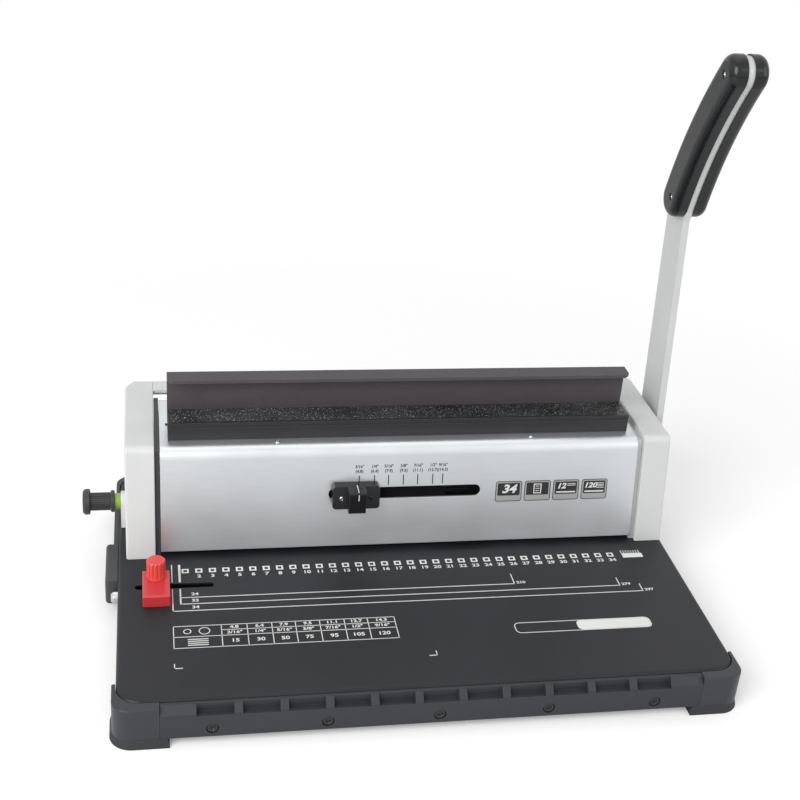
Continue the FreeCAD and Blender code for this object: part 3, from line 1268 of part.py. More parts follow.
def press_bar():
    """Bar that closes the wire: a flange over the jaw on a web that passes through the cover."""
    bar = body("press_bar")
    lip = WEB_REAR - S["press_flange_depth"]
    profile = [
        (WEB_FRONT, WEB_BOTTOM),
        (WEB_REAR, WEB_BOTTOM),
        (WEB_REAR, PRESS_TOP),
        (lip, PRESS_TOP),
        (lip, FLANGE_BOTTOM),
        (WEB_FRONT, FLANGE_BOTTOM),
    ]
    pad(bar, "YZ", *JAW_X, poly(profile))
    for place in PUNCH_RACKS_X:
        half = S["rack_width"] / 2 + S["press_play"]
        low, high = WEB_BOTTOM - S["seam"], WEB_BOTTOM + S["press_notch"]
        notch = rect((place - half, place + half), (low, high))
        pocket(bar, "XZ", WEB_FRONT - S["seam"], WEB_REAR + S["seam"], notch)
    soften(bar, S["press_corner"], lambda s, a: abs(a.z) > 0.9 and at(s.y, lip), "Chamfer")
    bend = lambda s, a: abs(a.x) > 0.9 and at(s.y, WEB_REAR) and at(s.z, PRESS_TOP)
    soften(bar, S["press_bend"], bend)
    finish(bar, "press_bar")


def rack_teeth(pitch_y, stroke):
    """Outline of a rack's toothed side, from its lowest point up, facing +Y."""
    pitch = TOOTH_PITCH.number
    addendum, dedendum = ADDENDUM.number, DEDENDUM.number
    slope = math.tan(PRESSURE_ANGLE)
    half = pitch / 4 - S["backlash"].number / 2
    base, margin = SHAFT_Z.number, S["rack_margin"].number
    wide, narrow = half + dedendum * slope, half - addendum * slope
    points = []
    number = math.ceil(-margin / pitch - 0.5)
    while (number + 0.5) * pitch < stroke + margin:
        middle = base + (number + 0.5) * pitch
        points += [(pitch_y - dedendum, middle - wide), (pitch_y + addendum, middle - narrow)]
        points += [(pitch_y + addendum, middle + narrow), (pitch_y - dedendum, middle + wide)]
        number += 1
    return points


def extrusion(name, points, low, width, holes=()):
    """Solid from an outline in the YZ plane, run along X, with round holes as (y, z, radius)."""
    spots = [FreeCAD.Vector(low, y, z) for y, z in points]
    face = Part.Face(Part.makePolygon(spots + spots[:1]))
    solid = face.extrude(FreeCAD.Vector(width, 0, 0))
    for y, z, radius in holes:
        drill = Part.makeCylinder(radius, width, FreeCAD.Vector(low, y, z), FreeCAD.Vector(1, 0, 0))
        solid = solid.cut(drill)
    thing = doc.addObject("Part::Feature", name)
    thing.Shape = solid
    return thing


def press_racks():
    """Racks behind the press bar's web, each with an ear for its return spring."""
    pitch_y = (SHAFT_Y - PRESS_PITCH).number
    teeth = rack_teeth(pitch_y, PRESS_STROKE.number)
    ear = (SPRING_Y + S["spring_radius"]).number
    floor, back = RACK_FLOOR.number, WEB_REAR.number
    ear_top = floor + 2 * (S["peg_radius"] + S["peg_wall"]).number
    foot = pitch_y - DEDENDUM.number
    top = (WEB_BOTTOM + S["press_notch"]).number
    below = [(back, floor), (ear, floor), (ear, ear_top), (foot, ear_top)]
    points = [*below, *teeth, (foot, top), (back, top)]
    width = S["rack_width"].number
    racks = []
    for name, place in zip(("left", "right"), PRESS_RACKS_X):
        racks.append(extrusion(f"press_rack_{name}", points, place.number - width / 2, width))
    finish(group("press_racks", racks), "press_racks")


def punch_racks():
    """Racks on arms that reach back from the punch bar over the margin rod."""
    pitch_y = (SHAFT_Y - PUNCH_PITCH).number
    teeth = rack_teeth(pitch_y, PUNCH_STROKE.number)
    foot = pitch_y - DEDENDUM.number
    front = BAR_REAR.number
    floor = teeth[0][1] - S["rack_land"].number
    top = teeth[-1][1] + S["rack_land"].number
    points = [(front, floor), (foot, floor), *teeth, (foot, top), (front, top)]
    width = S["rack_width"].number
    racks = []
    for name, place in zip(("left", "right"), PUNCH_RACKS_X):
        racks.append(extrusion(f"punch_rack_{name}", points, place.number - width / 2, width))
    finish(group("punch_racks", racks), "punch_racks")


def press_guides():
    """Grooved blocks on the frames that guide the ends of the press bar's web."""
    guides = []
    for name, side in (("left", -1), ("right", 1)):
        guide = body(f"press_guide_{name}")
        wall = MIDDLE + side * FRAME_INNER
        face = MIDDLE + side * (JAW_HALF - S["guide_lap"])
        y = (WEB_FRONT - S["guide_wall"], WEB_REAR + S["guide_rear_wall"])
        top = COVER_TOP - S["cover_sheet"] - S["guide_below_cover"]
        z = (top - S["press_guide_height"], top)
        pad(guide, "XY", *z, rect(ordered(wall, face), y))
        bottom = MIDDLE + side * (JAW_HALF + S["press_play"])
        groove_x = (bottom, face - side * S["seam"])
        groove_y = (WEB_FRONT - S["slide_gap"], WEB_REAR + S["slide_gap"])
        pocket(guide, "XY", z[0] - S["seam"], z[1] + S["seam"], rect(groove_x, groove_y))
        guides.append(guide)
    finish(group("press_guides", guides), "press_guides")


def spring_pegs():
    """Pegs on the frames that hold the return springs' upper ends."""
    pegs = []
    reach = FRAME_INNER - SPRING_X + S["spring_radius"]
    for name, side in (("left", -1), ("right", 1)):
        wall = MIDDLE + side * FRAME_INNER
        low = wall if side < 0 else wall - reach
        spot = (low, SPRING_Y, PEG_LEVEL)
        pegs.append(rod(f"spring_peg_{name}", "x", spot, reach, S["peg_radius"]))
    finish(group("spring_pegs", pegs), "spring_pegs")


def rack_pegs():
    """Pegs on the press racks' ears that hold the return springs' lower ends."""
    pegs = []
    level = RACK_FLOOR + S["peg_radius"] + S["peg_wall"]
    rack_side = PRESS_RACK_X + S["rack_width"] / 2
    reach = SPRING_X + S["spring_radius"] - rack_side
    for name, side in (("left", -1), ("right", 1)):
        wall = MIDDLE + side * rack_side
        low = wall - reach if side < 0 else wall
        pegs.append(rod(f"rack_peg_{name}", "x", (low, SPRING_Y, level), reach, S["peg_radius"]))
    finish(group("rack_pegs", pegs), "rack_pegs")


def return_springs():
    """Springs that lift the press bar and the handle back up, each as its outer form."""
    springs = []
    low = RACK_FLOOR + S["peg_radius"] * 2 + S["peg_wall"]
    length = PEG_LEVEL - S["peg_radius"] - low
    for name, place in zip(("left", "right"), SPRINGS_X):
        start = (place, SPRING_Y, low)
        springs.append(rod(f"return_spring_{name}", "z", start, length, S["spring_radius"]))
    finish(group("return_springs", springs), "return_springs")


# Punch: bar, pins, clamp and stop lug

LUG_LEVEL = BAR_BOTTOM + S["lug_lift"]
SEAT_TOP = BAR_BOTTOM + S["pin_seat"]
PIN_REAR = PUNCH_Y + S["pin_side"] / 2
PIN_FRONT = PUNCH_Y - S["pin_side"] / 2


def punch_bar():
    """Bar over the pins, with a seat for their heads, column bores and the stop lug."""
    bar = body("punch_bar")
    half = ROW_HALF + S["punch_bar_end"]
    profile = [
        (BAR_FRONT, SEAT_TOP),
        (PIN_REAR, SEAT_TOP),
        (PIN_REAR, BAR_BOTTOM),
        (BAR_REAR, BAR_BOTTOM),
        (BAR_REAR, BAR_TOP),
        (BAR_FRONT, BAR_TOP),
    ]
    pad(bar, "YZ", -half, half, poly(profile))
    lug_x = (S["lug_place"] - S["lug_width"] / 2, S["lug_place"] + S["lug_width"] / 2)
    lug = rect(lug_x, (BAR_FRONT - S["lug_reach"], BAR_FRONT))
    pad(bar, "XY", LUG_LEVEL, LUG_LEVEL + S["lug_height"], lug)
    bores = circles(COLUMNS, S["column_radius"] + S["running_gap"])
    pocket(bar, "XY", BAR_BOTTOM - S["seam"], BAR_TOP + S["seam"], bores)
    finish(bar, "punch_bar")


def punch_pins():
    """Square pins, one for each hole."""
    half = S["pin_side"] / 2
    low = SEAT_TOP - S["pin_length"]
    pins = []
    for number, place in enumerate(PIN_ROW, 1):
        x, y = (place - half, place + half), (PIN_FRONT, PIN_REAR)
        pins.append(block(f"punch_pin_{number:02d}", x, y, (low, SEAT_TOP)))
    finish(group("punch_pins", pins), "punch_pins")


def pin_clamp():
    """Strip that clamps the heads of the pins in their seat."""
    reach = PIN_ROW[-1] + S["pin_side"] / 2 + S["clamp_beyond"]
    clamp = block("pin_clamp_block", (-reach, reach), (BAR_FRONT, PIN_FRONT), (BAR_BOTTOM, SEAT_TOP))
    finish(clamp, "pin_clamp")


# Main shaft and handle

SHAFT_END = MIDDLE - FRAME_OUTER - S["shaft_beyond"]
BAR_END = (SHAFT_Y + S["handle_top_y"], SHAFT_Z + S["handle_top_z"])
GRIP_LOW = (BAR_END[0] - S["grip_low_y"], BAR_END[1] + S["grip_low_z"])
GRIP_HIGH = (GRIP_LOW[0] - S["grip_high_y"], GRIP_LOW[1] + S["grip_high_z"])
LOW_ACROSS = (cosine(S["grip_angle_low"]), sine(S["grip_angle_low"]))
HIGH_ACROSS = (cosine(S["grip_angle_high"]), sine(S["grip_angle_high"]))
GRIP_SCREWS = [
    (GRIP_LOW[0] - S["grip_screw_low_y"], GRIP_LOW[1] + S["grip_screw_low_z"]),
    (GRIP_HIGH[0] + S["grip_screw_high_y"], GRIP_HIGH[1] - S["grip_screw_high_z"]),
]


def main_shaft():
    """Shaft through both frames, with a collar between the cap and the handle."""
    shaft = body("main_shaft")
    pad(shaft, "YZ", SHAFT_END, HANDLE_OUT, circle(SHAFT, S["shaft_radius"]))
    collar_low = MIDDLE + HALF_HOUSING + S["slide_gap"]
    collar = circle(SHAFT, S["shaft_radius"] + S["collar_wall"])
    pad(shaft, "YZ", collar_low, HANDLE_X, collar)
    bore = circle(SHAFT, S["bolt_radius"])
    pocket(shaft, "YZ", HANDLE_OUT - S["bolt_depth"], HANDLE_OUT + S["seam"], bore)
    finish(shaft, "main_shaft")


def shaft_clip():
    """Retaining ring beyond the left bush."""
    clip = body("shaft_clip")
    face = MIDDLE - FRAME_OUTER - S["slide_gap"]
    pad(clip, "YZ", face - S["clip_width"], face, circle(SHAFT, S["shaft_radius"] + S["clip_wall"]))
    span = (face - S["clip_width"] - S["seam"], face + S["seam"])
    pocket(clip, "YZ", *span, circle(SHAFT, S["shaft_radius"]))
    finish(clip, "shaft_clip")


def involute(teeth):
    """Outline of a pinion with involute teeth, one tooth pointing to -Y, about the main shaft."""
    pitch = S["gear_module"].number * teeth / 2
    base = pitch * math.cos(PRESSURE_ANGLE)
    tip, bottom = pitch + ADDENDUM.number, pitch - DEDENDUM.number
    half = math.pi / (2 * teeth) - S["backlash"].number / (4 * pitch)
    flank = []
    for radius in (bottom, pitch, tip):
        rolled = roll_angle(max(radius, base), base)
        flank.append((radius, half + roll_angle(pitch, base) - rolled))
    points = []
    for tooth in range(teeth):
        turn = math.pi + 2 * math.pi * tooth / teeth
        rise = [(radius, turn - angle) for radius, angle in flank]
        fall = [(radius, turn + angle) for radius, angle in reversed(flank)]
        for radius, angle in rise + fall:
            y = SHAFT_Y.number + radius * math.cos(angle)
            points.append((y, SHAFT_Z.number + radius * math.sin(angle)))
    return points


def roll_angle(radius, base):
    """Angle that an involute of a base circle has swept at a radius."""
    return math.sqrt((radius / base) ** 2 - 1) - math.acos(base / radius)


def pinions(label, teeth, places):
    """Pair of pinions on the main shaft."""
    width = S["gear_width"].number
    bore = [(SHAFT_Y.number, SHAFT_Z.number, S["shaft_radius"].number)]
    pair = []
    for name, place in zip(("left", "right"), places):
        points = involute(round(teeth.number))
        pair.append(extrusion(f"{label}_{name}", points, place.number - width / 2, width, bore))
    finish(group(label, pair), label)


def grip_outline(inset):
    """Outline of the grip's long sides, drawn in from the edge by an inset."""
    low, high = S["grip_low_radius"] - inset, S["grip_high_radius"] - inset
    middle = (low + high) / 2
    points = [
        (GRIP_LOW[0] - low * LOW_ACROSS[0], GRIP_LOW[1] - low * LOW_ACROSS[1]),
        (GRIP_LOW[0] + low * LOW_ACROSS[0], GRIP_LOW[1] + low * LOW_ACROSS[1]),
        (GRIP_HIGH[0] + high * HIGH_ACROSS[0], GRIP_HIGH[1] + high * HIGH_ACROSS[1]),
        (GRIP_HIGH[0] - high * HIGH_ACROSS[0], GRIP_HIGH[1] - high * HIGH_ACROSS[1]),
    ]
    return poly(points, {1: S["grip_bend"] + middle, 3: -(S["grip_bend"] - middle)})


def grip_solid(owner, low, high, inset):
    """Curved bar with round ends, the shape of the grip and of the tang inside it."""
    pad(owner, "YZ", low, high, grip_outline(inset))
    pad(owner, "YZ", low, high, circle(GRIP_LOW, S["grip_low_radius"] - inset))
    pad(owner, "YZ", low, high, circle(GRIP_HIGH, S["grip_high_radius"] - inset))


def handle_bar():
    """Flat bar from the shaft up into the grip."""
    bar = body("handle_bar")
    low, high = S["handle_low_width"] / 2, S["handle_high_width"] / 2
    foot = SHAFT_Y + S["handle_root"]
    neck = S["grip_low_radius"] - S["tang_inset"]
    profile = [
        (foot - low, SHAFT_Z),
        (foot + low, SHAFT_Z),
        (BAR_END[0] + high, BAR_END[1]),
        (GRIP_LOW[0] + neck * LOW_ACROSS[0], GRIP_LOW[1] + neck * LOW_ACROSS[1]),
        (GRIP_LOW[0] - neck * LOW_ACROSS[0], GRIP_LOW[1] - neck * LOW_ACROSS[1]),
        (BAR_END[0] - high, BAR_END[1]),
    ]
    pad(bar, "YZ", HANDLE_X, HANDLE_OUT, poly(profile))
    pad(bar, "YZ", HANDLE_X, HANDLE_OUT, circle(SHAFT, S["handle_hub"]))
    grip_solid(bar, HANDLE_X, HANDLE_OUT, S["tang_inset"])
    span = (HANDLE_X - S["seam"], HANDLE_OUT + S["seam"])
    pocket(bar, "YZ", *span, circle(SHAFT, S["shaft_radius"]))
    pocket(bar, "YZ", *span, circles(GRIP_SCREWS, S["grip_screw"]))
    finish(bar, "handle_bar")


def grip_scale(name, low, high, face):
    """One half of the grip, rounded along its free face."""
    scale = body(name)
    grip_solid(scale, low, high, as_size(0))
    soften(scale, S["grip_round"], lambda spot, along: at(spot.x, face))
    screws = circles(GRIP_SCREWS, S["grip_screw"])
    pocket(scale, "YZ", low - S["seam"], high + S["seam"], screws)
    finish(scale, name)


def grip_screws():
    """Screws through both scales and the tang, set below the faces."""
    screws = []
    low = HANDLE_X - S["grip_scale"] + S["screw_sink"]
    length = S["grip_scale"] * 2 + S["handle_plate"] - S["screw_sink"] * 2
    for number, spot in enumerate(GRIP_SCREWS, 1):
        screws.append(rod(f"grip_screw_{number}", "x", (low, *spot), length, S["grip_screw"]))
    finish(group("grip_screws", screws), "grip_screws")


def hub_bolt():
    """Bolt and washer that hold the handle on the shaft."""
    washer = rod("hub_washer", "x", (HANDLE_OUT, *SHAFT), S["washer_thickness"], S["hub_washer"])
    head_x = HANDLE_OUT + S["washer_thickness"]
    head = hexagon("hub_bolt_head", "x", (head_x, *SHAFT), S["bolt_head"], S["bolt_head_radius"])
    tip = HANDLE_OUT - S["bolt_depth"]
    shank = rod("hub_bolt_shank", "x", (tip, *SHAFT), head_x - tip, S["bolt_radius"])
    finish(joined("hub_bolt_whole", [washer, head, shank]), "hub_bolt")


# Wire size selector

SELECTOR_X = S["selector_rest"]
SHEET_DEPTH = S["cover_sheet"] * STRETCH
SELECTOR_BACK = S["cover_inset"] - S["slide_gap"]
PLATE_FRONT = SELECTOR_BACK - S["selector_plate"]
SLIDER_FRONT = S["cover_inset"] + SHEET_DEPTH + S["slide_gap"]
SLIDER_BACK = SLIDER_FRONT + S["slider_plate"]
STAIR_Y = (BAR_FRONT - S["stair_gap"] - S["stair_depth"], BAR_FRONT - S["stair_gap"])
HIGHEST_STEP = LUG_LEVEL - PUNCH_STROKE - S["stair_play"]
LOWEST_STEP = HIGHEST_STEP - S["stair_rise"] * (S["stair_count"] - 1)
SELECTOR_SCREWS = [
    (SELECTOR_X - S["selector_screw_spread"], SELECTOR_Z),
    (SELECTOR_X + S["selector_screw_spread"], SELECTOR_Z),
]


def leaning(low, high, near, far):
    """Four corners, in Y and Z, of a slab parallel to the housing's front."""
    return [
        (front_at(low, near), low),
        (front_at(low, far), low),
        (front_at(high, far), high),
        (front_at(high, near), high),
    ]


def selector_knob():
    """Knob in front of the cover: a plate with a thumb ridge, and a neck through the slot."""
    knob = body("selector_knob")
    low = SELECTOR_Z - S["selector_plate_drop"]
    high = low + S["selector_plate_height"]
    half = S["selector_plate_length"] / 2
    plate_x = (SELECTOR_X - half, SELECTOR_X + half)
    pad(knob, "YZ", *plate_x, poly(leaning(low, high, PLATE_FRONT, SELECTOR_BACK)))
    plate_end = lambda s: at(s.x, plate_x[0]) or at(s.x, plate_x[1])
    corners = lambda s, a: plate_end(s) and (at(s.z, low) or at(s.z, high))
    soften(knob, S["selector_plate_corner"], corners)
    half = S["selector_ridge_width"] / 2
    ridge_front = front_at(low, PLATE_FRONT) - S["selector_ridge_reach"]
    ridge = [
        (ridge_front, low),
        (front_at(low, SELECTOR_BACK), low),
        (front_at(high, SELECTOR_BACK), high),
        (ridge_front, high),
    ]
    pad(knob, "YZ", SELECTOR_X - half, SELECTOR_X + half, poly(ridge))
    soften(knob, S["ridge_round"], lambda s, a: at(s.y, ridge_front))
    half = S["selector_slot_height"] / 2 - S["slide_gap"]
    neck = poly(leaning(SELECTOR_Z - half, SELECTOR_Z + half, SELECTOR_BACK, SLIDER_FRONT))
    half = S["selector_neck"] / 2
    pad(knob, "YZ", SELECTOR_X - half, SELECTOR_X + half, neck)
    front = front_at(SELECTOR_Z, PLATE_FRONT) - S["cover_sheet"]
    rear = front_at(SELECTOR_Z, SLIDER_FRONT) + S["cover_sheet"]
    pocket(knob, "XZ", front, rear, circles(SELECTOR_SCREWS, S["selector_screw"]))
    finish(knob, "selector_knob")


def selector_slider():
    """Plate behind the cover that the knob is screwed to."""
    slider = body("selector_slider")
    half = S["slider_length"] / 2
    low, high = LOWEST_STEP - S["shelf_drop"], SELECTOR_Z + S["slider_above"]
    slab = poly(leaning(low, high, SLIDER_FRONT, SLIDER_BACK))
    pad(slider, "YZ", SELECTOR_X - half, SELECTOR_X + half, slab)
    front = front_at(SELECTOR_Z, SLIDER_FRONT) - S["cover_sheet"]
    rear = front_at(SELECTOR_Z, SLIDER_BACK) + S["cover_sheet"]
    pocket(slider, "XZ", front, rear, circles(SELECTOR_SCREWS, S["selector_screw"]))
    finish(slider, "selector_slider")


def stop_stair():
    """Stair under the punch bar's lug: each step ends the travel higher, for a thicker wire."""
    stair = body("stop_stair")
    right = S["lug_place"] + S["stair_step"] / 2
    left = right - S["stair_step"] * S["stair_count"]
    floor = LOWEST_STEP - S["shelf_drop"]
    points = [(left, floor), (right, floor)]
    for number in steps(S["stair_count"]):
        level = LOWEST_STEP + S["stair_rise"] * number
        points.append((right - S["stair_step"] * number, level))
        points.append((right - S["stair_step"] * (number + 1), level))
    pad(stair, "XZ", *STAIR_Y, poly(points))
    shelf_top = LOWEST_STEP - S["shelf_below"]
    shelf = [
        (front_at(floor, SLIDER_BACK), floor),
        (STAIR_Y[0], floor),
        (STAIR_Y[0], shelf_top),
        (front_at(shelf_top, SLIDER_BACK), shelf_top),
    ]
    pad(stair, "YZ", left, right, poly(shelf))
    finish(stair, "stop_stair")


def selector_screws():
    """Screws that hold the knob to the slider."""
    screws = []
    low = front_at(SELECTOR_Z, PLATE_FRONT) - S["seam"]
    length = front_at(SELECTOR_Z, SLIDER_BACK) - low
    for number, (x, z) in enumerate(SELECTOR_SCREWS, 1):
        screws.append(rod(f"selector_screw_{number}", "y", (x, low, z), length, S["selector_screw"]))
    finish(group("selector_screws", screws), "selector_screws")


# Edge guide

GUIDE_X = (GUIDE_SPOT[0] - S["guide_width"] / 2, GUIDE_SPOT[0] + S["guide_width"] / 2)
GUIDE_BOTTOM = DECK_TOP + S["guide_lift"]
GUIDE_TOP = GUIDE_BOTTOM + S["guide_height"]
NUT_TOP = DECK_UNDER - S["guide_lift"]


def guide_block():
    """Block that the sheets' left edges are pushed against, with a tongue in the deck's slot."""
    guide = body("guide_block")
    y = (GUIDE_SPOT[1] - S["guide_front"], GUIDE_SPOT[1] + S["guide_back"])
    pad(guide, "XY", GUIDE_BOTTOM, GUIDE_TOP, rect(GUIDE_X, y))
    rim = lambda s, a: at(s.z, GUIDE_TOP) or (abs(a.z) > 0.9 and at(s.y, y[0]))
    soften(guide, S["guide_edge"], rim)
    half = S["guide_slot_width"] / 2 - S["pin_gap"]
    tongue_x = (GUIDE_SPOT[0] - S["guide_tongue"] / 2, GUIDE_SPOT[0] + S["guide_tongue"] / 2)
    tongue = rect(tongue_x, (GUIDE_SPOT[1] - half, GUIDE_SPOT[1] + half))
    pad(guide, "XY", NUT_TOP, GUIDE_BOTTOM, tongue)
    bore = circle(GUIDE_SPOT, S["stud_radius"] + S["running_gap"])
    pocket(guide, "XY", NUT_TOP - S["seam"], GUIDE_TOP + S["seam"], bore)
    finish(guide, "guide_block")


def guide_nut():
    """Nut plate under the deck that the clamp knob draws up."""
    nut = body("guide_nut")
    half = S["guide_nut_side"] / 2
    x = (GUIDE_SPOT[0] - half, GUIDE_SPOT[0] + half)
    y = (GUIDE_SPOT[1] - half, GUIDE_SPOT[1] + half)
    pad(nut, "XY", NUT_TOP - S["guide_nut"], NUT_TOP, rect(x, y))
    bore = circle(GUIDE_SPOT, S["stud_radius"] + S["running_gap"])
    pocket(nut, "XY", NUT_TOP - S["guide_nut"] - S["seam"], NUT_TOP + S["seam"], bore)
    finish(nut, "guide_nut")


def guide_knob():
    """Fluted clamp knob with its stud."""
    knob = body("guide_knob")
    low = GUIDE_TOP + S["pin_gap"]
    high = low + S["guide_knob_height"]
    pad(knob, "XY", low, high, circle(GUIDE_SPOT, S["guide_knob_radius"]))
    soften(knob, S["guide_knob_edge"], lambda spot, along: at(spot.z, high), "Chamfer")
    count = round(S["guide_flutes"].number)
    centres = []
    reach = S["guide_knob_radius"] + S["flute_radius"] / 3
    for number in range(count):
        turn = 2 * math.pi * number / count
        x, y = reach * math.cos(turn), reach * math.sin(turn)
        centres.append((GUIDE_SPOT[0] + x, GUIDE_SPOT[1] + y))
    flutes = circles(centres, S["flute_radius"])
    pocket(knob, "XY", low + S["knob_foot"], high + S["seam"], flutes)
    stud_low = NUT_TOP - S["guide_nut"]
    pad(knob, "XY", stud_low, low, circle(GUIDE_SPOT, S["stud_radius"]))
    finish(knob, "guide_knob")


# Punching margin: rod with its knob outside the left cap and a paper stop inside

BOSS_END = MIDDLE - HALF_HOUSING - S["margin_boss"]
COLLAR_X = (BOSS_END - S["seam"] - S["margin_collar_length"], BOSS_END - S["seam"])
KNOB_INNER = COLLAR_X[0]
KNOB_OUTER = KNOB_INNER - S["margin_knob_length"]


def margin_rod():
    """Rod across the machine that carries the paper stop."""
    end = MIDDLE + FRAME_OUTER + S["shaft_beyond"]
    start = KNOB_OUTER + S["knob_cap"]
    whole = rod("margin_rod_bar", "x", (start, *MARGIN), end - start, S["margin_rod"])
    finish(whole, "margin_rod")


def margin_collar():
    """Coloured collar between the knob and the cap."""
    collar = body("margin_collar")
    pad(collar, "YZ", *COLLAR_X, circle(MARGIN, S["margin_collar"]))
    span = (COLLAR_X[0] - S["seam"], COLLAR_X[1] + S["seam"])
    pocket(collar, "YZ", *span, circle(MARGIN, S["margin_rod"]))
    finish(collar, "margin_collar")


def margin_knob():
    """Knob with a flange at each end, turned to set how far in the holes lie."""
    knob = body("margin_knob")
    inner = KNOB_INNER - S["knob_inner_width"]
    outer = KNOB_OUTER + S["knob_outer_width"]
    pad(knob, "YZ", KNOB_OUTER, outer, circle(MARGIN, S["margin_flange"]))
    pad(knob, "YZ", outer, inner, circle(MARGIN, S["margin_knob"]))
    pad(knob, "YZ", inner, KNOB_INNER, circle(MARGIN, S["margin_inner_flange"]))
    soften(knob, S["knob_chamfer"], lambda spot, along: at(spot.x, KNOB_OUTER), "Chamfer")
    span = (KNOB_OUTER + S["knob_cap"], KNOB_INNER + S["seam"])
    pocket(knob, "YZ", *span, circle(MARGIN, S["margin_rod"]))
    finish(knob, "margin_knob")


def margin_stop():
    """Angle plate on the rod that the sheets' edges stop against."""
    stop = body("margin_stop")
    front = STRIPPER_Y[1] + S["stop_gap"]
    low = DECK_TOP + S["stop_lift"]
    rod_top = MARGIN[1] + S["margin_rod"]
    rear = MARGIN[0] + S["stop_lap"]
    plate = S["stop_plate"]
    profile = [
        (front, low),
        (front + plate, low),
        (front + plate, rod_top),
        (rear, rod_top),
        (rear, rod_top + plate),
        (front, rod_top + plate),
    ]
    half = ROW_HALF - S["stop_inset"]
    pad(stop, "YZ", -half, half, poly(profile))
    finish(stop, "margin_stop")


for make in (deck_tray, base_pan, front_fascia, fascia_screws):
    make()
for end_name, end in (("front", -1), ("rear", 1)):
    for side_name, side in (("left", -1), ("right", 1)):
        corner(f"corner_{end_name}_{side_name}", side, end)
for make in (rubber_feet, tray_rails, waste_tray, tray_pull, tray_catch):
    make()
for make in (die_plate, throat_spacers, stripper_plate, guide_columns, die_screws):
    make()
side_frame("side_frame_left", -1)
side_frame("side_frame_right", 1)
for make in (frame_screws, shaft_bushes, housing_cover):
    make()
end_cap("end_cap_left", -1)
end_cap("end_cap_right", 1)
for make in (rear_bridge, cap_screws, tie_rods, lower_jaw, jaw_strip, press_bar):
    make()
for make in (press_racks, punch_racks, press_guides, spring_pegs, rack_pegs, return_springs):
    make()
for make in (punch_bar, punch_pins, pin_clamp, main_shaft, shaft_clip):
    make()
pinions("press_pinions", S["press_teeth"], PRESS_RACKS_X)
pinions("punch_pinions", S["punch_teeth"], PUNCH_RACKS_X)
handle_bar()
grip_scale("grip_inner", HANDLE_X - S["grip_scale"], HANDLE_X, HANDLE_X - S["grip_scale"])
grip_scale("grip_outer", HANDLE_OUT, HANDLE_OUT + S["grip_scale"], HANDLE_OUT + S["grip_scale"])
for make in (grip_screws, hub_bolt, selector_knob, selector_slider, stop_stair, selector_screws):
    make()
for make in (guide_block, guide_nut, guide_knob):
    make()
for make in (margin_rod, margin_collar, margin_knob, margin_stop):
    make()

doc.recompute()
broken = [thing.Name for thing in doc.Objects if {"Invalid", "Error"} & set(thing.State)]
broken += [part.Label for part in PARTS if part.Shape.isNull() or not part.Shape.isValid()]
if broken:
    raise RuntimeError(f"failed: {', '.join(broken)}")
os.makedirs("parts", exist_ok=True)
for part in PARTS:
    part.Shape.exportStep(f"parts/{part.Label}.step")
print(len(PARTS), "pieces written")
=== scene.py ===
"""Dresses a desk binding machine: a finish for every part, printed marks and fine trim.

Lengths are in metres. X runs along the machine to its lever, Y to its rear and Z up from the table.
"""

import logging
import math
from collections.abc import Callable, Iterable, Sequence
from dataclasses import dataclass, replace
from enum import Enum

import bmesh
import bpy
from mathutils import Euler, Matrix, Vector


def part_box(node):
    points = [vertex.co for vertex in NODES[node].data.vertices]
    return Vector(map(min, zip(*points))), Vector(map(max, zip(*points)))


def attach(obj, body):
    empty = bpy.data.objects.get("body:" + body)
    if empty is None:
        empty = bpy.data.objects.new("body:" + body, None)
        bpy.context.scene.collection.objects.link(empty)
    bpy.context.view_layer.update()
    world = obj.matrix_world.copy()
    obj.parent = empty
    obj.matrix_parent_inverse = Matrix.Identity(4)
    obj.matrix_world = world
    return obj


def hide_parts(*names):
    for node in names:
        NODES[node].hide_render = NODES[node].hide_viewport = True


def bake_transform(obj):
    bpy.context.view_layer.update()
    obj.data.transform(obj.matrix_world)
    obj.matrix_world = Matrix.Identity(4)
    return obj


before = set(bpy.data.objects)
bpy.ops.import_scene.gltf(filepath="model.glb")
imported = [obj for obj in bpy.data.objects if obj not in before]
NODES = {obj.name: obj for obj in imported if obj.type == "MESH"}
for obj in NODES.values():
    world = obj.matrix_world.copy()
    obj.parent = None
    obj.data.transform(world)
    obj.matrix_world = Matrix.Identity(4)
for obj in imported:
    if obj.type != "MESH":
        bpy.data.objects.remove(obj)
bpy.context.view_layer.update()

LOG = logging.getLogger("binding_machine")

Colour = tuple[float, float, float]
Point = tuple[float, float, float]
Spot = tuple[float, float]
Pair = tuple[float, float]
Triple = tuple[float, float, float]
Area = tuple[float, float, float, float]
Tree = bpy.types.NodeTree
Socket = bpy.types.NodeSocket
Given = Socket | float | Sequence[float]

ORIGIN: Point = (0.0, 0.0, 0.0)
SEAM = 0.0000005  # points closer together than this are merged
NOISE_RANGE: Pair = (0.3, 0.7)  # values that most of a noise pattern lies between
BROAD_GRAIN = 28.0  # patches per metre of the slow pattern over a whole part


def feed(tree: Tree, node: bpy.types.Node, inputs: dict[str | int, Given]) -> None:
    """Links each named input of a node to a socket or sets it to a value.

    Args:
        tree: node tree that the node stands in.
        node: node to feed.
        inputs: socket or value of each input, by the input's name or number.
    """
    for key, given in inputs.items():
        if isinstance(given, Socket):
            tree.links.new(given, node.inputs[key])
        else:
            node.inputs[key].default_value = given


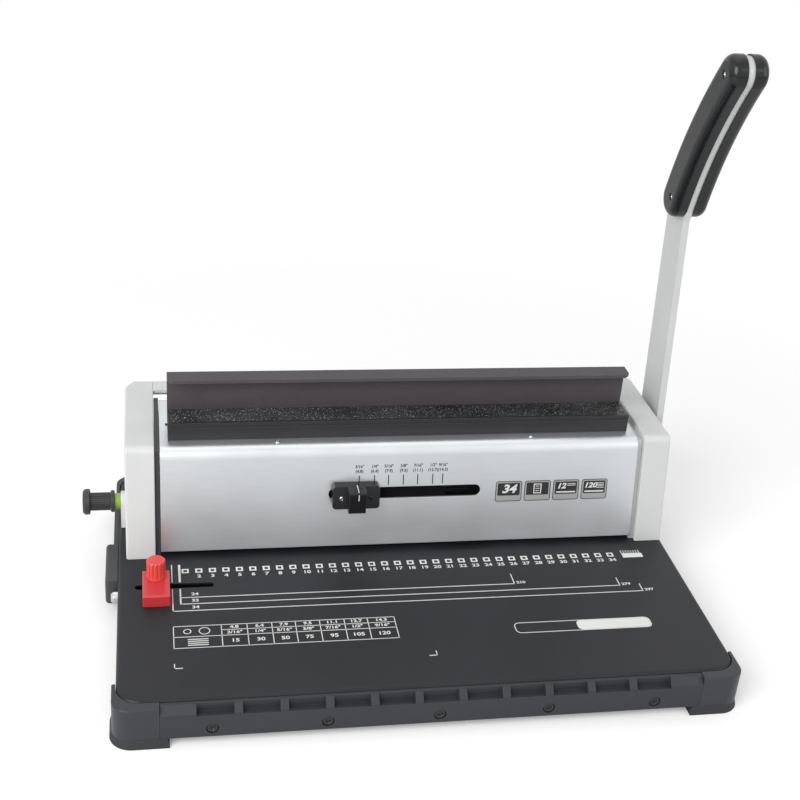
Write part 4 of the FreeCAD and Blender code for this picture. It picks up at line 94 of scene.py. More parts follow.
def add(
    tree: Tree, kind: str, inputs: dict[str | int, Given] | None = None, **settings: str
) -> bpy.types.Node:
    """Adds a shader node and feeds it.

    Args:
        tree: node tree that it goes into.
        kind: name of its type, without the ShaderNode that leads it.
        inputs: socket or value of each input.
        settings: properties of the node, such as its operation.

    Returns:
        The node.
    """
    node = tree.nodes.new(f"ShaderNode{kind}")
    for name, value in settings.items():
        setattr(node, name, value)
    feed(tree, node, inputs or {})
    return node


def calculated(tree: Tree, operation: str, *terms: Given) -> Socket:
    """Gives the result of an operation on two values."""
    return add(tree, "Math", dict(enumerate(terms)), operation=operation).outputs["Value"]


def remapped(tree: Tree, value: Socket, given: Pair, wanted: Pair = (0.0, 1.0)) -> Socket:
    """Maps the given range of a value onto the wanted one and holds it at both ends."""
    ends = dict(zip(("From Min", "From Max", "To Min", "To Max"), (*given, *wanted)))
    return add(tree, "MapRange", {"Value": value, **ends}).outputs["Result"]


def mixed_colour(tree: Tree, share: Socket, first: Socket, second: Colour) -> Socket:
    """Mixes a share of the second colour into the first."""
    inputs = {"Factor": share, 6: first, 7: (*second, 1.0)}
    return add(tree, "Mix", inputs, data_type="RGBA").outputs[2]


class Texture(Enum):
    """How the fine structure of a surface runs, by its scale along each axis."""

    GRAINED = (1.0, 1.0, 1.0)
    BRUSHED_X = (0.02, 1.0, 1.0)
    BRUSHED_Z = (1.0, 1.0, 0.02)

    def noise(self, tree: Tree, scale: float, detail: float) -> Socket:
        """Adds one noise pattern that runs this way.

        Args:
            tree: node tree of the material.
            scale: grains per metre.
            detail: octaves of the noise.

        Returns:
            The pattern.
        """
        where = add(tree, "TexCoord").outputs["Object"]
        mapped = add(tree, "Mapping", {"Vector": where, "Scale": self.value}).outputs["Vector"]
        return add(tree, "TexNoise", {"Vector": mapped, "Scale": scale, "Detail": detail}).outputs["Fac"]


@dataclass(frozen=True)
class Finish:
    """One surface finish, built as a procedural material on object coordinates.

    Attributes:
        name: name of the material.
        colour: main colour, linear.
        roughness: middle roughness.
        metallic: 1 for bare metal, 0 for paint, plastic and rubber.
        texture: how the fine structure runs.
        grain: size of one grain, in metres.
        bump: height of the grain, in metres.
        mottle: how far the colour and roughness wander, from 0 to 1.
        coat: weight of a clear glossy layer.
        edge: how much lighter the edges are, from 0 to 1, partly as rubbed wear and partly as a painted
            highlight.
        rounding: radius that sharp edges seem to have, in metres.
        specular: strength of the reflection of what isn't metal.
    """

    name: str
    colour: Colour
    roughness: float
    metallic: float = 0.0
    texture: Texture = Texture.GRAINED
    grain: float = 0.0006
    bump: float = 0.00002
    mottle: float = 0.06
    coat: float = 0.0
    edge: float = 0.0
    rounding: float = 0.0004
    specular: float = 0.5

    def material(self) -> bpy.types.Material:
        """Builds the material once and gives it again when asked again.

        Returns:
            The material.
        """
        known = bpy.data.materials.get(self.name)
        if known:
            return known
        made = bpy.data.materials.new(self.name)
        made.use_nodes = True
        tree = made.node_tree
        fine = self.texture.noise(tree, 1.0 / self.grain, 3.0)
        broad = Texture.GRAINED.noise(tree, BROAD_GRAIN, 2.0)
        rough = self.roughness * (1.0 - self.mottle), min(1.0, self.roughness * (1.0 + self.mottle))
        bevel = add(tree, "Bevel", {"Radius": self.rounding}).outputs["Normal"]
        bump = add(tree, "Bump", {"Distance": self.bump, "Height": fine, "Normal": bevel})
        look = {
            "Metallic": self.metallic,
            "Coat Weight": self.coat,
            "Coat Roughness": 0.08,
            "Specular IOR Level": self.specular,
            "Base Color": self._colour(tree, fine, broad),
            "Roughness": remapped(tree, broad, NOISE_RANGE, rough),
            "Normal": bump.outputs["Normal"],
        }
        feed(tree, tree.nodes["Principled BSDF"], look)
        return made

    def _colour(self, tree: Tree, fine: Socket, broad: Socket) -> Socket:
        """Lets the colour wander with both patterns and lightens the edges, partly as rubbed wear and partly
        as a painted highlight.

        Args:
            tree: node tree of the material.
            fine: pattern of the grain.
            broad: slow pattern over the whole part.

        Returns:
            The colour.
        """
        both = add(tree, "Mix", {"Factor": 0.5, 2: fine, 3: broad}, data_type="FLOAT")
        ramp = add(tree, "ValToRGB", {"Fac": both.outputs[0]})
        shares = (1.0 - self.mottle, 1.0 + self.mottle)
        for stop, position, share in zip(ramp.color_ramp.elements, NOISE_RANGE, shares):
            stop.position = position
            stop.color = (*(min(1.0, part * share) for part in self.colour), 1.0)
        if not self.edge:
            return ramp.outputs["Color"]
        bevel = add(tree, "Bevel", {"Radius": self.rounding * 2.0}).outputs["Normal"]
        plain = add(tree, "NewGeometry").outputs["Normal"]
        dot = add(tree, "VectorMath", {0: bevel, 1: plain}, operation="DOT_PRODUCT")
        share = remapped(tree, dot.outputs["Value"], (0.98, 0.85), (0.0, self.edge))
        # Lighter colour on the edges: partly rubbed wear, partly a painted highlight.
        light = tuple(min(1.0, part * 1.6 + 0.08) for part in self.colour)
        return mixed_colour(tree, share, ramp.outputs["Color"], light)


@dataclass(frozen=True)
class GritFinish(Finish):
    """Finish of a gritty rubber strip, with glints painted on its grains.

    Attributes:
        speck: size of the patch that one painted glint stands in, in metres.
        painted_glint: colour of a grain's painted glint.
        share: share of the patches that get a painted glint.
        fading: distances from its middle, in patches, at which a painted glint ends and is full.
    """

    speck: float = 0.0006
    painted_glint: Colour = (0.7, 0.7, 0.69)
    share: float = 0.2
    fading: Pair = (0.45, 0.2)

    def _colour(self, tree: Tree, fine: Socket, broad: Socket) -> Socket:
        """Scatters painted glints over the wandering colour.

        Args:
            tree: node tree of the material.
            fine: pattern of the grain.
            broad: slow pattern over the whole part.

        Returns:
            The colour.
        """
        dark = super()._colour(tree, fine, broad)
        # Painted highlight: pale specks that stand in for grains catching the light.
        where = add(tree, "TexCoord").outputs["Object"]
        cells = add(tree, "TexVoronoi", {"Vector": where, "Scale": 1.0 / self.speck})
        parts = add(tree, "SeparateColor", {"Color": cells.outputs["Color"]})
        chosen = calculated(tree, "LESS_THAN", parts.outputs["Red"], self.share)
        near = remapped(tree, cells.outputs["Distance"], self.fading)
        return mixed_colour(tree, calculated(tree, "MULTIPLY", chosen, near), dark, self.painted_glint)


# Each finish's edge value lightens its edges: partly rubbed wear, partly a painted highlight.
DECK_COAT = Finish(
    "deck_coat", (0.018, 0.019, 0.022), 0.42, grain=0.0007, bump=0.00003, mottle=0.2, edge=0.35, specular=0.28
)
FASCIA_PLASTIC = Finish("fascia_plastic", (0.031, 0.033, 0.039), 0.46, grain=0.0005, edge=0.16, specular=0.38)
CORNER_PLASTIC = Finish(
    "corner_plastic", (0.034, 0.036, 0.043), 0.36, grain=0.0005, bump=0.00001, edge=0.3, specular=0.4
)
FOOT_RUBBER = Finish(
    "sole_rubber", (0.03, 0.031, 0.034), 0.65, grain=0.0009, bump=0.00004, edge=0.2, specular=0.4
)
CAP_MOULDING = Finish("cap_moulding", (0.68, 0.69, 0.685), 0.42, grain=0.0005, edge=0.15)
COVER_METAL = Finish(
    "cover_metal", (0.72, 0.74, 0.76), 0.35, 0.85, Texture.BRUSHED_X, grain=0.0004, bump=0.000005
)
# Black lacquer given a lighter purplish colour as a painted reflection, with its own reflection kept weak.
BAR_LACQUER_AND_SHEEN = Finish(
    "bar_lacquer_painted_sheen", (0.086, 0.077, 0.085), 0.26, grain=0.002, bump=0.000004, edge=0.2, specular=0.1
)
JAW_LACQUER = Finish("jaw_lacquer", (0.028, 0.028, 0.031), 0.34, grain=0.0006, edge=0.3, specular=0.35)
STRIP_GRIT = GritFinish("strip_grit", (0.035, 0.035, 0.037), 0.5, grain=0.0005, bump=0.00012, mottle=0.7)
HANDLE_SILVER = Finish("lever_coat", (0.62, 0.635, 0.63), 0.42, 0.2, grain=0.0005, edge=0.1, specular=0.3)
GRIP_GLOSS = Finish(
    "grip_gloss", (0.009, 0.01, 0.011), 0.2, grain=0.001, bump=0.000006, coat=0.1, specular=0.35
)
GUIDE_CRIMSON = Finish("guide_crimson", (0.62, 0.04, 0.052), 0.32, grain=0.0008, bump=0.000008, coat=0.3)
KNOB_SCARLET = Finish("knob_scarlet", (0.8, 0.078, 0.066), 0.3, grain=0.0008, bump=0.000008, coat=0.3)
COLLAR_GREEN = Finish("collar_lime", (0.25, 0.4, 0.03), 0.32, grain=0.0008, bump=0.000006, coat=0.3)
SELECTOR_GLOSS = Finish(
    "selector_gloss", (0.012, 0.012, 0.014), 0.22, grain=0.0006, bump=0.000006, edge=0.4, specular=0.35
)
KNOB_PLASTIC = Finish("knob_plastic", (0.03, 0.03, 0.032), 0.42, grain=0.0005, edge=0.15)
TRAY_PLASTIC = Finish("tray_plastic", (0.054, 0.056, 0.06), 0.5, grain=0.0005, edge=0.15)
BRIGHT_STEEL = Finish(
    "bright_steel", (0.66, 0.66, 0.67), 0.24, 1.0, Texture.BRUSHED_X, grain=0.0003, bump=0.000004
)
PLATE_STEEL = Finish(
    "plate_steel", (0.5, 0.5, 0.51), 0.4, 1.0, Texture.BRUSHED_Z, grain=0.0004, bump=0.000006
)
TOOL_STEEL = Finish(
    "tool_steel", (0.42, 0.42, 0.44), 0.3, 1.0, Texture.BRUSHED_X, grain=0.0003, bump=0.000005
)
BLACK_SCREW = Finish("black_screw", (0.035, 0.035, 0.037), 0.2, 0.5, grain=0.0004, bump=0.000004, edge=0.3)
# Blackened slider, made near black and without reflection as painted shade in the deep slot.
SLIDER_BLACK_AND_SHADE = Finish("slider_black_painted_shade", (0.007, 0.007, 0.008), 0.8, grain=0.0005, specular=0.03)
# The two side frames are one part in two finishes: the left dark as painted shade, the right bright as
# painted light.
FRAME_PAINTED_SHADE = Finish("frame_painted_shade", (0.07, 0.07, 0.075), 0.5, edge=0.15)
FRAME_PAINTED_LIGHT = Finish("frame_painted_light", (0.62, 0.63, 0.63), 0.35, 0.4, bump=0.00001, edge=0.2)
WHITE_INK = Finish("white_ink", (0.8, 0.8, 0.79), 0.5, grain=0.0002, bump=0.000003, mottle=0.08)
BLACK_INK = Finish("black_ink", (0.02, 0.02, 0.022), 0.45, grain=0.0002, bump=0.000003, mottle=0.15)
PALE_INK = Finish("pale_ink", (0.42, 0.43, 0.43), 0.4, 0.3, grain=0.0003, bump=0.000003)
TURNED_BRASS = Finish("turned_brass", (0.62, 0.43, 0.16), 0.3, 1.0, grain=0.0004)

NODE_FINISHES = {
    DECK_COAT: ("deck_tray", "base_pan"),
    FASCIA_PLASTIC: ("front_fascia",),
    CORNER_PLASTIC: ("corner_front_left", "corner_front_right", "corner_rear_left", "corner_rear_right"),
    FOOT_RUBBER: ("rubber_feet",),
    CAP_MOULDING: ("end_cap_left", "end_cap_right", "rear_bridge"),
    COVER_METAL: ("housing_cover",),
    BAR_LACQUER_AND_SHEEN: ("press_bar",),
    JAW_LACQUER: ("lower_jaw",),
    STRIP_GRIT: ("jaw_strip",),
    HANDLE_SILVER: ("handle_bar",),
    GRIP_GLOSS: ("grip_inner", "grip_outer"),
    GUIDE_CRIMSON: ("guide_block",),
    KNOB_SCARLET: ("guide_knob",),
    COLLAR_GREEN: ("margin_collar",),
    KNOB_PLASTIC: ("margin_knob", "press_guides"),
    SELECTOR_GLOSS: ("selector_knob",),
    TRAY_PLASTIC: ("waste_tray", "tray_pull"),
    BRIGHT_STEEL: (
        "tray_catch", "main_shaft", "shaft_clip", "tie_rods", "margin_rod", "spring_pegs", "rack_pegs",
        "return_springs", "grip_screws", "hub_bolt", "selector_screws", "frame_screws", "cap_screws",
        "die_screws",
    ),
    SLIDER_BLACK_AND_SHADE: ("selector_slider",),
    # Left frame dark as painted shade, right frame bright as painted light.
    FRAME_PAINTED_SHADE: ("side_frame_left",),
    FRAME_PAINTED_LIGHT: ("side_frame_right",),
    PLATE_STEEL: ("tray_rails", "stop_stair", "margin_stop", "guide_nut"),
    TOOL_STEEL: (
        "die_plate", "throat_spacers", "stripper_plate", "guide_columns", "punch_pins", "pin_clamp",
        "punch_bar", "punch_racks", "press_racks", "press_pinions", "punch_pinions",
    ),
    BLACK_SCREW: ("fascia_screws",),
    TURNED_BRASS: ("shaft_bushes",),
}


def dress_nodes() -> None:
    """Gives every node of the machine its finish."""
    for finish, names in NODE_FINISHES.items():
        for name in names:
            node = NODES[name]
            node.data.materials.clear()
            node.data.materials.append(finish.material())
    left_out = set(NODES) - {name for names in NODE_FINISHES.values() for name in names}
    if left_out:
        raise ValueError(f"no finish for {sorted(left_out)}")


def deselect() -> None:
    """Leaves nothing selected, because an operator acts on all that is."""
    bpy.ops.object.select_all(action="DESELECT")


def pick(*objects: bpy.types.Object) -> None:
    """Selects objects and nothing else, and makes the first one active.

    Args:
        objects: what to select.
    """
    deselect()
    for each in objects:
        each.select_set(True)
    bpy.context.view_layer.objects.active = objects[0]


def place(what: bpy.types.Object, spot: Point, turn: Triple = ORIGIN) -> None:
    """Turns and moves an object and puts its place into its mesh.

    Args:
        what: object to place.
        spot: where its origin goes.
        turn: turns about X, Y and Z, in radians.
    """
    pick(what)
    what.rotation_euler = turn
    what.location = spot
    bpy.ops.object.transform_apply(location=True, rotation=True, scale=True)


def joined(parts: Sequence[bpy.types.Object]) -> bpy.types.Object:
    """Joins objects into the first of them.

    Args:
        parts: objects whose places are already in their meshes.

    Returns:
        The first object, with the meshes of all.
    """
    pick(*parts)
    if len(parts) > 1:
        bpy.ops.object.join()
    return bpy.context.object


def choose_faces(wanted: Callable[[Vector, Vector], bool]) -> None:
    """Selects faces in edit mode by their place and normal.

    Args:
        wanted: tells from a face's centre and normal whether it is wanted.
    """
    bpy.ops.mesh.select_mode(type="FACE")
    bpy.ops.mesh.select_all(action="DESELECT")
    mesh = bmesh.from_edit_mesh(bpy.context.object.data)
    for face in mesh.faces:
        if wanted(face.calc_center_median(), face.normal):
            face.select_set(True)
    bmesh.update_edit_mesh(bpy.context.object.data)


def extrude(height: float) -> None:
    """Extrudes what is selected in edit mode along Z."""
    bpy.ops.mesh.extrude_region_move(TRANSFORM_OT_translate={"value": (0.0, 0.0, height)})


def carve(what: bpy.types.Object, cutter: bpy.types.Object) -> None:
    """Cuts one object's shape out of another and deletes the cutter.

    Args:
        what: object that is cut.
        cutter: closed shape that is taken away.
    """
    pick(what)
    cut = what.modifiers.new("cut", "BOOLEAN")
    cut.operation = "DIFFERENCE"
    cut.object = cutter
    bpy.ops.object.modifier_apply(modifier=cut.name)
    bpy.data.objects.remove(cutter, do_unlink=True)


def copies(first: bpy.types.Object, spots: Iterable[Point]) -> bpy.types.Object:
    """Sets a copy of an object at each place and takes the object away.

    Args:
        first: object at the origin.
        spots: where the copies go.

    Returns:
        The copies as one object.
    """
    made = []
    for spot in spots:
        pick(first)
        bpy.ops.object.duplicate()
        copy = bpy.context.object
        place(copy, spot)
        made.append(copy)
    bpy.data.objects.remove(first, do_unlink=True)
    return joined(made)


@dataclass(frozen=True)
class Carriage:
    """What a new piece is called, made of and carried by.

    Attributes:
        name: name of the piece.
        finish: its finish.
        body: moving body that carries it.
        slot: material slot of the record for the piece; not used.
        stands_for: nodes of the machine that it is shown in place of.
        smooth: largest angle between faces that are shaded as one, in degrees.
    """

    name: str
    finish: Finish
    body: str
    slot: str
    stands_for: tuple[str, ...] = ()
    smooth: float = 30.0

    def load(self, piece: bpy.types.Object) -> None:
        """Dresses a finished piece and puts it on its body.

        Args:
            piece: finished mesh object, with its place in its mesh.
        """
        self.dress(piece)
        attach(piece, self.body)
        LOG.info("%s: %d faces on %s", self.name, len(piece.data.polygons), self.body)

    def dress(self, piece: bpy.types.Object) -> None:
        """Closes the piece's seams and gives it its name and finish.

        Args:
            piece: finished mesh object, with its place in its mesh.
        """
        pick(piece)
        bpy.ops.object.mode_set(mode="EDIT")
        bpy.ops.mesh.select_all(action="SELECT")
        bpy.ops.mesh.remove_doubles(threshold=SEAM)
        bpy.ops.mesh.normals_make_consistent(inside=False)
        bpy.ops.object.mode_set(mode="OBJECT")
        bpy.ops.object.shade_smooth_by_angle(angle=math.radians(self.smooth))
        piece.name = self.name
        piece.data.name = self.name
        piece.data.materials.clear()
        piece.data.materials.append(self.finish.material())
        if self.stands_for:
            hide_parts(*self.stands_for)


DIGIT_HEIGHT = 0.72  # height of the font's digits by its size
WIRE_MILLIMETRES = ("4.8", "6.4", "7.9", "9.5", "11.1", "12.7", "14.3")
WIRE_INCHES = ('3/16"', '1/4"', '5/16"', '3/8"', '7/16"', '1/2"', '9/16"')


@dataclass(frozen=True)
class Figure:
    """One printed number.

    Attributes:
        text: the number.
        spot: middle of the number in the flat drawing.
        height: height of its digits.
        slant: how far it leans to the right, from 0 to 1.
        bold: how much its strokes are widened.
        width: how much wider than usual its digits are.
    """

    text: str
    spot: Spot
    height: float
    slant: float = 0.0
    bold: float = 0.00012
    width: float = 1.18


@dataclass(frozen=True)
class InkSheet:
    """Marks drawn flat and then laid on one flat face of the machine.

    Attributes:
        origin: point of the face that the drawing's origin lies on.
        tilt: turn of the drawing about X, in degrees.
        low: underside of the ink above the face.
        high: top of the ink above the face.
    """

    origin: Point = ORIGIN
    tilt: float = 0.0
    low: float = -0.00001
    high: float = 0.00005

    def shapes(self, areas: Iterable[Area], line: float = 0.0, corner: float = 0.0) -> bpy.types.Object:
        """Models rectangles, filled or as outlines, with sharp or round corners.

        Args:
            areas: left, right, lower and upper side of each.
            line: width of the outlines, or 0 for filled ones.
            corner: radius of the corners.

        Returns:
            The rectangles as one object.
        """
        deselect()
        for number, (left, right, lower, upper) in enumerate(areas):
            bpy.ops.mesh.primitive_plane_add(size=1.0, location=ORIGIN)
            if number == 0:
                bpy.ops.object.mode_set(mode="EDIT")
            bpy.ops.transform.resize(value=(right - left, upper - lower, 1.0), center_override=ORIGIN)
            bpy.ops.transform.translate(value=((left + right) / 2, (lower + upper) / 2, 0.0))
        if corner:
            bpy.ops.mesh.select_all(action="SELECT")
            bpy.ops.mesh.bevel(offset=corner, segments=4, affect="VERTICES")
        return self._raised(line)

    def ring(self, spot: Spot, outer: float, line: float) -> bpy.types.Object:
        """Models a ring.

        Args:
            spot: middle of the ring.
            outer: outer radius.
            line: width of the line.

        Returns:
            The ring.
        """
        deselect()
        bpy.ops.mesh.primitive_circle_add(
            vertices=24, radius=outer, fill_type="NGON", location=(*spot, 0.0)
        )
        bpy.ops.object.transform_apply(location=True, rotation=True, scale=True)
        bpy.ops.object.mode_set(mode="EDIT")
        return self._raised(line)

    def _raised(self, line: float) -> bpy.types.Object:
        """Gives the flat shapes in edit mode their thickness.

        Args:
            line: width that stays along the outline of each, or 0 for all of it.

        Returns:
            The object, back in object mode.
        """
        bpy.ops.mesh.select_all(action="SELECT")
        if line:
            bpy.ops.mesh.inset(thickness=line, use_individual=True)
            bpy.ops.mesh.delete(type="FACE")
            bpy.ops.mesh.select_all(action="SELECT")
        extrude(self.high - self.low)
        bpy.ops.object.mode_set(mode="OBJECT")
        drawn = bpy.context.object
        place(drawn, (0.0, 0.0, self.low))
        return drawn

    def numbers(self, figures: Iterable[Figure]) -> bpy.types.Object:
        """Sets numbers.

        Args:
            figures: the numbers and their places.

        Returns:
            The numbers as one mesh object.
        """
        deselect()
        set_numbers = []
        for figure in figures:
            bpy.ops.object.text_add(location=(*figure.spot, (self.low + self.high) / 2))
            number = bpy.context.object
            letters = number.data
            letters.body = figure.text
            letters.size = figure.height / DIGIT_HEIGHT
            letters.align_x = letters.align_y = "CENTER"
            letters.shear = figure.slant
            letters.offset = figure.bold
            letters.extrude = (self.high - self.low) / 2
            letters.resolution_u = 3
            number.scale.x = figure.width
            set_numbers.append(number)
        pick(*set_numbers)
        bpy.ops.object.convert(target="MESH")
        bpy.ops.object.transform_apply(location=True, rotation=True, scale=True)
        return joined(list(bpy.context.selected_objects))

    def lay(self, parts: Sequence[bpy.types.Object], carriage: Carriage) -> None:
        """Joins drawn marks, lays them on the face and hands them to their body.

        Args:
            parts: what the other methods drew.
            carriage: name, ink and body of the piece.
        """
        drawing = joined(parts)
        place(drawing, self.origin, (math.radians(self.tilt), 0.0, 0.0))
        carriage.load(drawing)


def around(x: float, y: float, across: float, up: float) -> Area:
    """Gives the area that reaches as far across and up to both sides of a point."""
    return x - across, x + across, y - up, y + up


@dataclass(frozen=True)
class Paper:
    """Mark on the deck that shows how far one kind of paper reaches.

    Attributes:
        length: the paper's length, in millimetres.
        holes: number of holes that it gets.
        start: left end of the line.
        reach: right end of the line.
        level: place of the line in the drawing.
        rise: how far the tick at its right end rises.
    """

    length: str
    holes: str
    start: float
    reach: float
    level: float
    rise: float


@dataclass(frozen=True)
class DeckPrint:
    """White guide print on the deck: hole marks, paper lengths, size table and corner marks.

    The drawing's origin is the middle of the first hole mark.

    Attributes:
        origin: place of the first hole mark on the deck.
        holes: number of hole marks.
        pitch: distance between hole marks.
        mark: side of a hole mark, and width of its line.
        line: width of a thin line.
        digits: height of the numbers under the marks and in the table's last row.
        number_level: middle of the numbers under the marks.
        papers: marks of the papers' lengths.
        length_place: middle of a length's number from the end of its line, and height of its digits.
        count_place: middle of a hole count, across and up from its line, and height of its digits.
        start_lines: upright lines where the papers' lines start.
        columns: sides of the table's columns.
        rows: the table's upper side, its two dividing lines and its lower side.
        table_line: width of the table's lines.
        table_digits: height of the numbers in the table's upper rows.
        sheet_counts: numbers in the table's bottom row.
        rings: place across and radius of the wire rings in the table's first column.
        stack: half the length and height of a sheet in the stack below them.
        stack_levels: height of each sheet in its row.
        corner_marks: lines of the two corner marks at the deck's front.
        comb: back of the wire comb sign behind the last hole mark.
        teeth: number of the comb's teeth.
        tooth: width of a tooth by their distance, and height of its end.
        plate: outline of the empty name plate.
        field: filled right part of the plate.
        corners: radius of the corners of the plate and of the field.
        outline: width of the plate's line, and of the rings'.
    """

    origin: Point = (-0.1397, 0.005, 0.027)
    holes: int = 34
    pitch: float = 0.0084667
    mark: Pair = (0.0045, 0.001125)
    line: float = 0.0007
    digits: float = 0.0031
    number_level: float = -0.006
    papers: tuple[Paper, ...] = (
        Paper("210", "24", -0.0036, 0.207, -0.0279, 0.0107),
        Paper("279", "32", -0.0036, 0.2755, -0.0344, 0.0084),
        Paper("297", "34", -0.0087, 0.2888, -0.0412, 0.0078),
    )
    length_place: Triple = (0.0042, 0.0012, 0.0024)
    count_place: Triple = (0.0052, 0.0033, 0.0027)
    start_lines: tuple[Area, ...] = (
        (-0.0087, -0.008, -0.04155, -0.0188), (-0.0087, -0.008, -0.0118, 0.0072),
        (-0.0041, -0.0031, -0.03475, -0.0188), (-0.0044, -0.0029, -0.0118, 0.0069),
    )
    columns: tuple[float, ...] = (-0.0086, 0.0194, 0.0346, 0.0493, 0.0634, 0.078, 0.0929, 0.1071, 0.1236)
    rows: tuple[float, float, float, float] = (-0.0563, -0.0612, -0.0665, -0.0768)
    table_line: float = 0.00056
    table_digits: float = 0.0026
    sheet_counts: tuple[str, ...] = ("15", "30", "50", "75", "95", "105", "120")
    rings: tuple[Pair, ...] = ((-0.006, 0.0024), (0.004, 0.0034))
    stack: Pair = (0.006, 0.0004)
    stack_levels: tuple[float, ...] = (-0.0027, -0.0009, 0.0009, 0.0027)
    corner_marks: tuple[Area, ...] = (
        (-0.009, -0.004, -0.0951, -0.0944), (-0.009, -0.0084, -0.0951, -0.0906),
        (0.1384, 0.1434, -0.0951, -0.0944), (0.1428, 0.1434, -0.0951, -0.0906),
    )
    comb: Area = (0.2875, 0.3015, -0.004, 0.0008)
    teeth: int = 8
    tooth: Pair = (0.3, 0.0042)
    plate: Area = (0.1955, 0.2825, -0.0783, -0.068)
    field: Area = (0.235, 0.2818, -0.0776, -0.0687)
    corners: Pair = (0.0035, 0.0028)
    outline: float = 0.0006

    def build(self) -> None:
        """Draws all of the print and lays it on the deck."""
        sheet = InkSheet(self.origin)
        side, mark_line = self.mark
        marks = [around(number * self.pitch, 0.0, side / 2, side / 2) for number in range(self.holes)]
        parts = [
            sheet.shapes(marks, mark_line),
            sheet.shapes([*self._paper_lines(), *self._table_lines(), *self.corner_marks, *self._comb()]),
            sheet.numbers(self._figures()),
            sheet.shapes([self.plate], self.outline, self.corners[0]),
            sheet.shapes([self.field], corner=self.corners[1]),
            *self._pictograms(sheet),
        ]
        sheet.lay(parts, Carriage("deck_print", WHITE_INK, "base", "cap_silver"))

    def _paper_lines(self) -> list[Area]:
        """Lists the lines that show how far each paper reaches.

        Returns:
            The lines along the papers, the ticks at their ends and the lines at their starts.
        """
        half = self.line / 2
        lines = []
        for paper in self.papers:
            lines.append((paper.start, paper.reach, paper.level - half, paper.level + half))
            lines.append((paper.reach - self.line, paper.reach, paper.level, paper.level + paper.rise))
        return [*lines, *self.start_lines]

    def _table_lines(self) -> list[Area]:
        """Lists the lines of the size table.

        Returns:
            The lines across and then the upright ones.
        """
        half = self.table_line / 2
        left, right = self.columns[0], self.columns[-1]
        top, under_sizes, middle, bottom = self.rows
        lines = [(left - half, right + half, y - half, y + half) for y in (top, middle, bottom)]
        lines.append((self.columns[1], right, under_sizes - half, under_sizes + half))
        return lines + [(x - half, x + half, bottom, top) for x in self.columns]

    def _comb(self) -> list[Area]:
        """Lists the bars of the wire comb sign.

        Returns:
            Its back and its teeth.
        """
        left, right, _, base = self.comb
        step = (right - left) / self.teeth
        share, end = self.tooth
        starts = [left + step * number for number in range(self.teeth)]
        return [self.comb, *((start, start + step * share, base, end) for start in starts)]

    def _figures(self) -> list[Figure]:
        """Lists the numbers under the hole marks from the second on, the papers' and the table's.

        Returns:
            The numbers.
        """
        figures = [
            Figure(str(number + 1), (number * self.pitch, self.number_level), self.digits)
            for number in range(1, self.holes)
        ]
        beyond, above, length_digits = self.length_place
        across, up, count_digits = self.count_place
        for paper in self.papers:
            spot = (paper.reach + beyond, paper.level + above)
            figures.append(Figure(paper.length, spot, length_digits))
            figures.append(Figure(paper.holes, (across, paper.level + up), count_digits))
        top, under_sizes, middle, bottom = self.rows
        for texts, level, digits in (
            (WIRE_MILLIMETRES, (top + under_sizes) / 2, self.table_digits),
            (WIRE_INCHES, (under_sizes + middle) / 2, self.table_digits),
            (self.sheet_counts, (middle + bottom) / 2, self.digits),
        ):
            for text, left, right in zip(texts, self.columns[1:-1], self.columns[2:]):
                figures.append(Figure(text, ((left + right) / 2, level), digits))
        return figures

    def _pictograms(self, sheet: InkSheet) -> list[bpy.types.Object]:
        """Draws the table's first column: wire rings, and a stack of sheets.

        Args:
            sheet: sheet that is drawn on.

        Returns:
            The pictograms.
        """
        top, _, middle, bottom = self.rows
        centre, up, down = (self.columns[0] + self.columns[1]) / 2, (top + middle) / 2, (middle + bottom) / 2
        rings = [sheet.ring((centre + x, up), outer, self.outline) for x, outer in self.rings]
        stack = [around(centre, down + y, *self.stack) for y in self.stack_levels]
        return [*rings, sheet.shapes(stack)]


